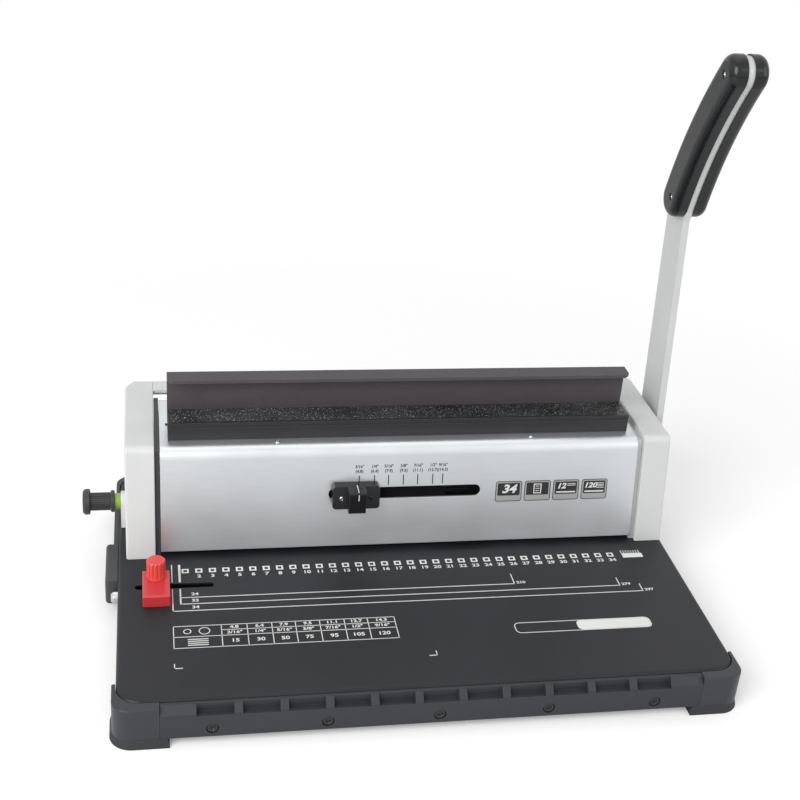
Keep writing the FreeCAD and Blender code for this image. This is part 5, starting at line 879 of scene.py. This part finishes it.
@dataclass(frozen=True)
class CoverPrint:
    """Print on the leaning cover: the selector's scale and four small signs.

    Heights are measured from the table, and the symbols' from the middle of the signs' dark fields.

    Attributes:
        foot: point at the bottom of the cover's face that the drawing starts from.
        lean: how far the face leans back, in degrees.
        ticks: place of each tick along the cover.
        tick: half the width of a tick.
        tick_ends: height of the ticks' lower and upper ends.
        size_level: height of the wire sizes in millimetres.
        inch_level: height of the same sizes in inches.
        size_digits: height of their digits.
        sign_left: left side of the first sign.
        sign_pitch: distance between signs.
        sign_width: width of a sign.
        sign_ends: height of the signs' lower and upper sides.
        rim: how far the light ground stays inside a sign's outer side.
        field_rim: how far the dark field does at the sides, below and above.
        corners: radius of the corners of the ground, the outline and the field.
        outline: width of the signs' outline.
        figures: number of holes, and of sheets in a thin and a thick stack.
        page: outline of a sheet of paper.
        page_line: width of that outline.
        symbol_bars: the page's lines, and the sheets and the base of both stacks.
        layers: underside and top of the ground, the fields and the symbols above the cover.
    """

    foot: Point = (0.0, 0.0215, 0.027)
    lean: float = 9.362
    ticks: tuple[float, ...] = (-0.0285, -0.0186, -0.0094, 0.0004, 0.0098, 0.0197, 0.0263)
    tick: float = 0.00033
    tick_ends: Pair = (0.0716, 0.0784)
    size_level: float = 0.0812
    inch_level: float = 0.0844
    size_digits: float = 0.002
    sign_left: float = 0.0624
    sign_pitch: float = 0.0196
    sign_width: float = 0.0179
    sign_ends: Pair = (0.0577, 0.0718)
    rim: float = 0.0004
    field_rim: Triple = (0.0014, 0.0042, 0.0013)
    corners: Triple = (0.0013, 0.0016, 0.0006)
    outline: float = 0.00045
    figures: tuple[Figure, ...] = (
        Figure("34", (0.07135, 0.0), 0.0058, 0.25, 0.00028),
        Figure("12", (0.1072, 0.0012), 0.0038, 0.25, 0.0002),
        Figure("120", (0.1273, 0.0012), 0.0036, 0.25, 0.0002),
    )
    page: Area = (0.08825, 0.09365, -0.0035, 0.0035)
    page_line: float = 0.0007
    symbol_bars: tuple[Area, ...] = (
        (0.08955, 0.09235, -0.0018, -0.0013), (0.08955, 0.09235, -0.0002, 0.0003),
        (0.08955, 0.09235, 0.0014, 0.0019), (0.1114, 0.1171, 0.00255, 0.00305),
        (0.1114, 0.1171, 0.00145, 0.00195), (0.104, 0.1171, -0.00349517, -0.00249517),
        (0.1317, 0.1367, 0.00255, 0.00305), (0.1317, 0.1367, 0.00145, 0.00195),
        (0.1317, 0.1367, 0.00035, 0.00085), (0.1317, 0.1367, -0.00075, -0.00025),
        (0.1236, 0.1367, -0.00349517, -0.00249517),
    )
    layers: tuple[Pair, Pair, Pair] = ((-0.00001, 0.00005), (0.00004, 0.00009), (0.00008, 0.00013))

    def build(self) -> None:
        """Draws the scale and the signs and lays them on the cover."""
        ground, fields, symbols = (InkSheet(self.foot, 90.0 - self.lean, *layer) for layer in self.layers)
        self._scale(ground)
        rim, (ground_corner, outline_corner, field_corner) = self.rim, self.corners
        inner = [(a + rim, b - rim, c + rim, d - rim) for a, b, c, d in self._signs()]
        plates = ground.shapes(inner, corner=ground_corner)
        ground.lay([plates], Carriage("sign_plates", PALE_INK, "base", "cap_silver"))
        parts = [
            fields.shapes(self._signs(), self.outline, outline_corner),
            fields.shapes(self._fields(), corner=field_corner),
        ]
        fields.lay(parts, Carriage("sign_fields", BLACK_INK, "base", "slider_black"))
        self._symbols(symbols)

    def _up(self, height: float) -> float:
        """Gives the way up the leaning face to a height above the table."""
        return (height - self.foot[2]) / math.cos(math.radians(self.lean))

    def _scale(self, sheet: InkSheet) -> None:
        """Draws the ticks over the selector's slot and the sizes above them.

        Args:
            sheet: sheet on the cover's face.
        """
        low, high = map(self._up, self.tick_ends)
        ticks = sheet.shapes([(x - self.tick, x + self.tick, low, high) for x in self.ticks])
        in_brackets = [f"({size})" for size in WIRE_MILLIMETRES]
        numbers = []
        for texts, level in ((in_brackets, self.size_level), (WIRE_INCHES, self.inch_level)):
            for text, x in zip(texts, self.ticks):
                numbers.append(Figure(text, (x, self._up(level)), self.size_digits, bold=0.00007, width=1.0))
        carriage = Carriage("cover_scale", BLACK_INK, "base", "slider_black")
        sheet.lay([ticks, sheet.numbers(numbers)], carriage)

    def _signs(self) -> list[Area]:
        """Lists the outer sides of the four signs."""
        lefts = [self.sign_left + self.sign_pitch * number for number in range(4)]
        return [(left, left + self.sign_width, *map(self._up, self.sign_ends)) for left in lefts]

    def _fields(self) -> list[Area]:
        """Lists the dark upper fields of the signs."""
        side, below, above = self.field_rim
        return [(a + side, b - side, c + below, d - above) for a, b, c, d in self._signs()]

    def _symbols(self, sheet: InkSheet) -> None:
        """Draws a hole count, a page, and a thin and a thick stack with their counts in white.

        Args:
            sheet: sheet above the dark fields.
        """
        *_, low, high = self._fields()[0]
        level = (low + high) / 2
        figures = [replace(each, spot=(each.spot[0], level + each.spot[1])) for each in self.figures]
        page, *bars = [(a, b, level + c, level + d) for a, b, c, d in (self.page, *self.symbol_bars)]
        parts = [sheet.numbers(figures), sheet.shapes([page], self.page_line), sheet.shapes(bars)]
        sheet.lay(parts, Carriage("sign_symbols", WHITE_INK, "base", "cap_silver"))


@dataclass(frozen=True)
class ScrewSet:
    """Cross-head screws of one kind: one is modelled, and a copy goes to each place.

    Attributes:
        carriage: name, finish and body of the set.
        spots: middle of each head's top.
        facing: turn about X, Y and Z that points the head from +Z to where it faces, in degrees.
        radius: radius of the head.
        height: height of the head.
        shank: radius of the shank.
        length: length of the shank below the head.
        rounding: how much of the head's height its rounded edge takes.
        recess: length and width of a blade of the recess by the head's radius, and depth by its height.
        taper: the same blade's length and width at its lower end, as shares of its own.
        turn: turn of the recess, in radians.
    """

    carriage: Carriage
    spots: tuple[Point, ...]
    facing: Triple
    radius: float
    height: float
    shank: float
    length: float
    rounding: float = 0.35
    recess: Triple = (1.45, 0.3, 0.55)
    taper: Pair = (0.5, 0.7)
    turn: float = 0.3

    def screw(self) -> bpy.types.Object:
        """Models one screw with its head's top at the origin, facing up.

        Returns:
            The screw.
        """
        deselect()
        bpy.ops.mesh.primitive_cylinder_add(
            vertices=32, radius=self.radius, depth=self.height, location=(0.0, 0.0, -self.height / 2)
        )
        head = bpy.context.object
        place(head, tuple(head.location))
        bpy.ops.object.mode_set(mode="EDIT")
        choose_faces(lambda spot, normal: normal.z > 0.9)
        bpy.ops.mesh.bevel(offset=self.height * self.rounding, segments=3, affect="EDGES")
        choose_faces(lambda spot, normal: normal.z < -0.9)
        bpy.ops.mesh.inset(thickness=self.radius - self.shank)
        extrude(-self.length)
        bpy.ops.object.mode_set(mode="OBJECT")
        for cutter in [self._blade(self.turn), self._blade(self.turn + math.pi / 2)]:
            carve(head, cutter)
        return head

    def _blade(self, turn: float) -> bpy.types.Object:
        """Models a blade that narrows downwards, for one half of the cross.

        Args:
            turn: its turn about the screw's axis, in radians.

        Returns:
            The blade.
        """
        deselect()
        bpy.ops.mesh.primitive_cube_add(size=1.0)
        blade = bpy.context.object
        length, width, depth = self.recess
        blade.scale = (self.radius * length, self.radius * width, self.height * depth * 2)
        bpy.ops.object.transform_apply(location=True, rotation=True, scale=True)
        bpy.ops.object.mode_set(mode="EDIT")
        choose_faces(lambda spot, normal: normal.z < -0.9)
        bpy.ops.transform.resize(value=(*self.taper, 1.0))
        bpy.ops.object.mode_set(mode="OBJECT")
        place(blade, ORIGIN, (0.0, 0.0, turn))
        return blade

    def build(self) -> None:
        """Models one screw and sets a copy at each place."""
        first = self.screw()
        place(first, ORIGIN, tuple(math.radians(angle) for angle in self.facing))
        self.carriage.load(copies(first, self.spots))


def box_of(node: str) -> tuple[Vector, Vector]:
    """Gives the lowest and the highest corner of a node of the machine."""
    low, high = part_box(node)
    return Vector(low), Vector(high)


@dataclass(frozen=True)
class Fasteners:
    """Screws that show: on the fascia, on the selector, in the grips and on the cover.

    Attributes:
        fascia_count: number of fascia screws.
        fascia_radius: radius of a fascia screw's head.
        selector_radius: radius of a selector screw's head.
        grip_radius: radius of a grip screw's head.
        head: height of a head.
        shank: radius of a shank.
        grip_shank: radius of a grip screw's shank.
        grip_raise: how far the grip's screws stand towards its faces.
        forwards: turn that makes a head face forwards, in degrees.
        cover_spots: middle of each cover screw's top.
        cover_screw: radius and height of a cover screw's head, and radius and length of its shank.
    """

    fascia_count: int = 5
    fascia_radius: float = 0.0034
    selector_radius: float = 0.0016
    grip_radius: float = 0.0024
    head: float = 0.0016
    shank: float = 0.0012
    grip_shank: float = 0.0018
    grip_raise: float = 0.0013
    forwards: Triple = (90.0, 0.0, 0.0)
    cover_spots: tuple[Point, ...] = ((-0.0808, 0.0406, 0.0992), (0.0858, 0.0408, 0.0992))
    cover_screw: tuple[float, float, float, float] = (0.0014, 0.0008, 0.0007, 0.0008)

    def build(self) -> None:
        """Models the sets of all four places."""
        self._fascia()
        self._selector()
        self._grips()
        carriage = Carriage("cover_screws", BRIGHT_STEEL, "base", "screw_steel")
        ScrewSet(carriage, self.cover_spots, ORIGIN, *self.cover_screw).build()

    def _fascia(self) -> None:
        """Row of screws along the fascia, facing forwards."""
        low, high = box_of("fascia_screws")
        first, last = low.x + self.fascia_radius, high.x - self.fascia_radius
        step = (last - first) / (self.fascia_count - 1)
        level = (low.z + high.z) / 2
        spots = tuple((first + step * number, low.y, level) for number in range(self.fascia_count))
        carriage = Carriage("fascia_cross_screws", BLACK_SCREW, "base", "screw_black", ("fascia_screws",))
        sizes = (self.fascia_radius, self.head, self.shank, high.y - low.y - self.head)
        ScrewSet(carriage, spots, self.forwards, *sizes).build()

    def _selector(self) -> None:
        """Two screws that hold the selector's knob, facing forwards: the left bright, and the right given a
        black finish as painted shade.
        """
        low, high = box_of("selector_screws")
        sizes = (self.selector_radius, self.head, self.shank, high.y - low.y - self.head)
        for side, x, finish, slot, stands_for in (
            ("left", low.x + self.selector_radius, BRIGHT_STEEL, "screw_steel", ("selector_screws",)),
            # Same screw as the left, given the black finish as painted shade.
            ("right", high.x - self.selector_radius, BLACK_SCREW, "screw_black", ()),
        ):
            carriage = Carriage(f"selector_screw_{side}", finish, "selector", slot, stands_for)
            spot = (x, low.y, (low.z + high.z) / 2)
            ScrewSet(carriage, (spot,), self.forwards, *sizes).build()

    def _grips(self) -> None:
        """Two screws through the grip, with a head on each side."""
        low, high = box_of("grip_screws")
        reach = self.grip_radius
        places = ((high.y - reach, low.z + reach), (low.y + reach, high.z - reach))
        sizes = (reach, self.head, self.grip_shank, (high.x - low.x) / 2 - self.head)
        for side, x, turn, stands_for in (
            ("inner", low.x - self.grip_raise, -90.0, ("grip_screws",)),
            ("outer", high.x + self.grip_raise, 90.0, ()),
        ):
            name = f"grip_cross_screws_{side}"
            carriage = Carriage(name, BRIGHT_STEEL, "handle", "screw_steel", stands_for)
            spots = tuple((x, y, z) for y, z in places)
            ScrewSet(carriage, spots, (0.0, turn, 0.0), *sizes).build()


@dataclass(frozen=True)
class MarginKnob:
    """Knurled knob at the left end, shown in place of the plain one.

    Attributes:
        axis: Y and Z of its axis.
        inner_end: X of the end next to the machine.
        sections: way out from there and radius of each section's corner.
        rim: width of the rim round its dished end.
        dish: depth of that dish.
        band: start and end of the knurled band, measured like the sections.
        teeth: number of ridges round the band.
        groove: depth of the grooves between them.
        groove_rim: how far a groove stays inside its face.
    """

    axis: Spot = (0.063, 0.044)
    inner_end: float = -0.1834
    sections: tuple[Pair, ...] = (
        (0.0, 0.0068), (0.0004, 0.0072), (0.002, 0.0072), (0.0024, 0.0068), (0.0026, 0.0059),
        (0.0154, 0.0059), (0.0157, 0.008), (0.0161, 0.0084), (0.0188, 0.0084), (0.0202, 0.0071),
    )
    rim: float = 0.00204
    dish: float = 0.0006
    band: Pair = (0.0026, 0.0154)
    teeth: int = 26
    groove: float = 0.00055
    groove_rim: float = 0.0001

    def build(self) -> None:
        """Models the knob along its axis, dishes its end and knurls its band."""
        deselect()
        radius = self.sections[0][1]
        bpy.ops.mesh.primitive_circle_add(vertices=self.teeth * 2, radius=radius, fill_type="NGON")
        knob = bpy.context.object
        bpy.ops.object.mode_set(mode="EDIT")
        for (low, narrow), (high, wide) in zip(self.sections, self.sections[1:]):
            extrude(high - low)
            share = wide / narrow
            bpy.ops.transform.resize(value=(share, share, 1.0))
        bpy.ops.mesh.inset(thickness=self.rim)
        bpy.ops.transform.translate(value=(0.0, 0.0, -self.dish))
        start, end = self.band
        tooth = math.pi / self.teeth
        choose_faces(
            lambda spot, normal: abs(normal.z) < 0.1
            and start < spot.z < end
            and math.floor(math.atan2(spot.y, spot.x) / tooth + self.teeth * 2) % 2 == 0
        )
        bpy.ops.mesh.inset(thickness=self.groove_rim, use_individual=True)
        bpy.ops.mesh.extrude_region_shrink_fatten(TRANSFORM_OT_shrink_fatten={"value": -self.groove})
        bpy.ops.object.mode_set(mode="OBJECT")
        place(knob, (self.inner_end, *self.axis), (0.0, -math.pi / 2, 0.0))
        Carriage("margin_grip_knob", KNOB_PLASTIC, "margin", "knob_black", ("margin_knob",)).load(knob)


@dataclass(frozen=True)
class GritPad:
    """Gritty strip on the lower jaw, with a rough top of real grains.

    Attributes:
        grains: cells of the top along the strip and across it.
        roughness: how far a grain stands up or down.
        scatter: how far a grain is moved before it is held to that.
        seed: start of the random numbers.
    """

    grains: tuple[int, int] = (430, 24)
    roughness: float = 0.00028
    scatter: float = 0.000448
    seed: int = 7

    def build(self) -> None:
        """Models the strip inside the plain one's box and shows it in its place."""
        low, high = box_of("jaw_strip")
        top = high.z - self.roughness
        deselect()
        along, across = self.grains
        bpy.ops.mesh.primitive_grid_add(x_subdivisions=along, y_subdivisions=across, size=1.0)
        pad = bpy.context.object
        pad.scale = (high.x - low.x, high.y - low.y, 1.0)
        place(pad, ((low.x + high.x) / 2, (low.y + high.y) / 2, top))
        bpy.ops.object.mode_set(mode="EDIT")
        bpy.ops.mesh.select_mode(type="VERT")
        bpy.ops.mesh.select_all(action="DESELECT")
        mesh = bmesh.from_edit_mesh(pad.data)
        for point in mesh.verts:
            point.select_set(not point.is_boundary)
        mesh.select_flush(True)
        bmesh.update_edit_mesh(pad.data)
        bpy.ops.transform.vertex_random(offset=self.scatter, seed=self.seed)
        mesh = bmesh.from_edit_mesh(pad.data)
        for point in mesh.verts:
            point.co.z = min(high.z, max(top * 2.0 - high.z, point.co.z))
        bmesh.update_edit_mesh(pad.data)
        bpy.ops.mesh.select_all(action="DESELECT")
        bpy.ops.mesh.select_mode(type="EDGE")
        bpy.ops.mesh.select_non_manifold()
        extrude(low.z - top)
        bpy.ops.mesh.edge_face_add()
        bpy.ops.object.mode_set(mode="OBJECT")
        Carriage("jaw_grit", STRIP_GRIT, "base", "strip_black", ("jaw_strip",), 12.0).load(pad)


@dataclass(frozen=True)
class ReturnSprings:
    """Two tension springs that lift the press bar, shown in place of the plain ones.

    Attributes:
        wire: radius of the wire.
        turns: number of turns.
        steps: number of steps that one turn is made of.
        sides: number of sides round the wire.
    """

    wire: float = 0.00055
    turns: int = 13
    steps: int = 16
    sides: int = 8

    def build(self) -> None:
        """Winds one spring and copies it to both sides."""
        low, high = box_of("return_springs")
        outer, middle = (high.y - low.y) / 2, (low.y + high.y) / 2
        spring = self._coil(outer, high.z - low.z)
        spots = [(x, middle, low.z + self.wire) for x in (low.x + outer, high.x - outer)]
        both = copies(spring, spots)
        Carriage("coil_springs", BRIGHT_STEEL, "base", "spring_steel", ("return_springs",), 60.0).dress(both)
        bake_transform(both)

    def _coil(self, outer: float, height: float) -> bpy.types.Object:
        """Winds one closed spring upwards from the origin.

        Args:
            outer: outer radius of the spring.
            height: height of the spring.

        Returns:
            The spring.
        """
        deselect()
        bpy.ops.mesh.primitive_circle_add(vertices=self.sides, radius=self.wire, fill_type="NOTHING")
        coil = bpy.context.object
        place(coil, (outer - self.wire, 0.0, 0.0), (math.pi / 2, 0.0, 0.0))
        screw = coil.modifiers.new("winding", "SCREW")
        screw.axis = "Z"
        screw.angle = math.tau
        screw.iterations = self.turns
        screw.screw_offset = (height - self.wire * 2) / self.turns
        screw.steps = screw.render_steps = self.steps
        bpy.ops.object.modifier_apply(modifier=screw.name)
        bpy.ops.object.mode_set(mode="EDIT")
        bpy.ops.mesh.select_all(action="SELECT")
        bpy.ops.mesh.remove_doubles(threshold=SEAM)
        bpy.ops.mesh.fill_holes(sides=0)
        bpy.ops.object.mode_set(mode="OBJECT")
        return coil


@dataclass(frozen=True)
class SelectorPointer:
    """White line on the selector's thumb ridge that points at the scale.

    Attributes:
        across: X of the line's middle.
        width: width of the line.
        thickness: how far the line stands out.
        sunk: how far it reaches into the ridge.
        on_top: its ends on the ridge's top, behind the front.
        on_front: its ends on the ridge's front, below the top.
    """

    across: float = -0.0305
    width: float = 0.0006
    thickness: float = 0.00005
    sunk: float = 0.00002
    on_top: Pair = (0.0012, 0.0105)
    on_front: Pair = (0.0055, 0.001)

    def build(self) -> None:
        """Draws the line over the ridge's top and down its front."""
        low, high = box_of("selector_knob")
        left, right = self.across - self.width / 2, self.across + self.width / 2
        sheet = InkSheet(low=-self.sunk, high=self.thickness)
        top = sheet.shapes([(left, right, *(low.y + way for way in self.on_top))])
        place(top, (0.0, 0.0, high.z))
        front = sheet.shapes([(left, right, *(high.z - way for way in self.on_front))])
        place(front, (0.0, low.y, 0.0), (math.pi / 2, 0.0, 0.0))
        Carriage("selector_pointer", WHITE_INK, "selector", "cap_silver").load(joined([top, front]))


@dataclass(frozen=True)
class Lamp:
    """Square soft lamp that is aimed at the machine.

    Attributes:
        name: its name.
        spot: its place.
        size: side of its face.
        power: its power, in watts.
        aim: point that it is turned to.
    """

    name: str
    spot: Point
    size: float
    power: float
    aim: Point = (0.0, 0.0, 0.08)

    def build(self) -> None:
        """Hangs the lamp up."""
        light = bpy.data.lights.new(self.name, "AREA")
        light.shape = "SQUARE"
        light.size = self.size
        light.energy = self.power
        lamp = bpy.data.objects.new(self.name, light)
        lamp.location = self.spot
        way = Vector(self.aim) - Vector(self.spot)
        lamp.rotation_euler = way.to_track_quat("-Z", "Y").to_euler()
        bpy.context.scene.collection.objects.link(lamp)


@dataclass(frozen=True)
class Studio:
    """Plain pale set with soft lamps and the camera at the photograph's angle.

    Attributes:
        eye: place of the camera.
        azimuth: turn of the view to the right of +Y, in degrees.
        tilt: how far the view looks down, in degrees.
        roll: how far the camera's right side is lifted, in degrees.
        sensor: width of the camera's sensor, in millimetres.
        focal: focal length for that width, in millimetres.
        fill: strength of the world's light where it isn't seen as white.
        floor_size: side of the floor.
        backdrop: colour of the floor.
        floor_lift: glow that the camera sees on the floor besides the lamps' light.
        fading: distances from the machine's middle at which the floor starts to fade and is gone.
        lamps: one over the front left, one from the right and one from behind.
    """

    eye: Point = (-0.15957, -0.69521, 0.51882)
    azimuth: float = 11.958
    tilt: float = 27.502
    roll: float = 4.665
    sensor: float = 36.0
    focal: float = 60.107
    fill: float = 0.5
    floor_size: float = 8.0
    backdrop: Colour = (0.93, 0.93, 0.93)
    floor_lift: float = 0.2
    fading: Pair = (0.3, 0.62)
    lamps: tuple[Lamp, ...] = (
        Lamp("key_lamp", (-0.95, -0.9, 0.95), 1.0, 16.5),
        Lamp("side_lamp", (1.2, -0.8, 0.8), 1.0, 4.0),
        Lamp("top_lamp", (0.1, 0.5, 1.8), 1.4, 3.5),
    )

    def build(self) -> None:
        """Makes the world, the floor, the lamps and the camera."""
        self._world()
        self._floor()
        for lamp in self.lamps:
            lamp.build()
        self._camera()
        bpy.context.scene.view_settings.view_transform = "Standard"
        LOG.info("studio ready")

    def _world(self) -> None:
        """White where the camera, a gloss or a glass sees it, and a soft fill elsewhere."""
        world = bpy.data.worlds.new("studio_world")
        bpy.context.scene.world = world
        world.use_nodes = True
        tree = world.node_tree
        path = add(tree, "LightPath").outputs
        straight = calculated(tree, "MAXIMUM", path["Is Camera Ray"], path["Is Transmission Ray"])
        seen = calculated(tree, "MAXIMUM", straight, path["Is Glossy Ray"])
        strength = remapped(tree, seen, (0.0, 1.0), (self.fill, 1.0))
        feed(tree, tree.nodes["Background"], {"Color": (1.0, 1.0, 1.0, 1.0), "Strength": strength})

    def _floor(self) -> None:
        """Pale floor that keeps the machine's shadow and fades to the white background."""
        deselect()
        bpy.ops.mesh.primitive_plane_add(size=self.floor_size)
        floor = bpy.context.object
        floor.name = "floor"
        made = bpy.data.materials.new("floor_paper")
        made.use_nodes = True
        tree = made.node_tree
        camera_ray = add(tree, "LightPath").outputs["Is Camera Ray"]
        shader = tree.nodes["Principled BSDF"]
        look = {
            "Base Color": (*self.backdrop, 1.0),
            "Roughness": 0.9,
            "Specular IOR Level": 0.1,
            "Emission Color": (1.0, 1.0, 1.0, 1.0),
            "Emission Strength": calculated(tree, "MULTIPLY", camera_ray, self.floor_lift),
        }
        feed(tree, shader, look)
        where = add(tree, "TexCoord").outputs["Object"]
        distance = add(tree, "VectorMath", {0: where}, operation="LENGTH").outputs["Value"]
        share = calculated(tree, "MULTIPLY", remapped(tree, distance, self.fading), camera_ray)
        clear = add(tree, "BsdfTransparent").outputs["BSDF"]
        surface = add(tree, "MixShader", {"Fac": share, 1: shader.outputs["BSDF"], 2: clear})
        feed(tree, tree.nodes["Material Output"], {"Surface": surface.outputs["Shader"]})
        floor.data.materials.append(made)

    def _camera(self) -> None:
        """Camera at the photograph's place, angle and focal length."""
        camera_data = bpy.data.cameras.new("camera")
        camera_data.sensor_width = self.sensor
        camera_data.lens = self.focal
        camera = bpy.data.objects.new("camera", camera_data)
        level = Euler((math.radians(90.0 - self.tilt), 0.0, math.radians(-self.azimuth)))
        roll = Matrix.Rotation(math.radians(self.roll), 4, "Z")
        camera.matrix_world = Matrix.Translation(self.eye) @ level.to_matrix().to_4x4() @ roll
        bpy.context.scene.collection.objects.link(camera)
        bpy.context.scene.camera = camera


def main() -> None:
    """Builds the machine's looks in order and reports each step."""
    logging.basicConfig(level=logging.INFO, format="%(message)s")
    Studio().build()
    dress_nodes()
    for assembly in (
        DeckPrint(), CoverPrint(), SelectorPointer(), Fasteners(), MarginKnob(), GritPad(), ReturnSprings()
    ):
        assembly.build()
        LOG.info("%s is done", type(assembly).__name__)


if __name__ == "__main__":
    main()
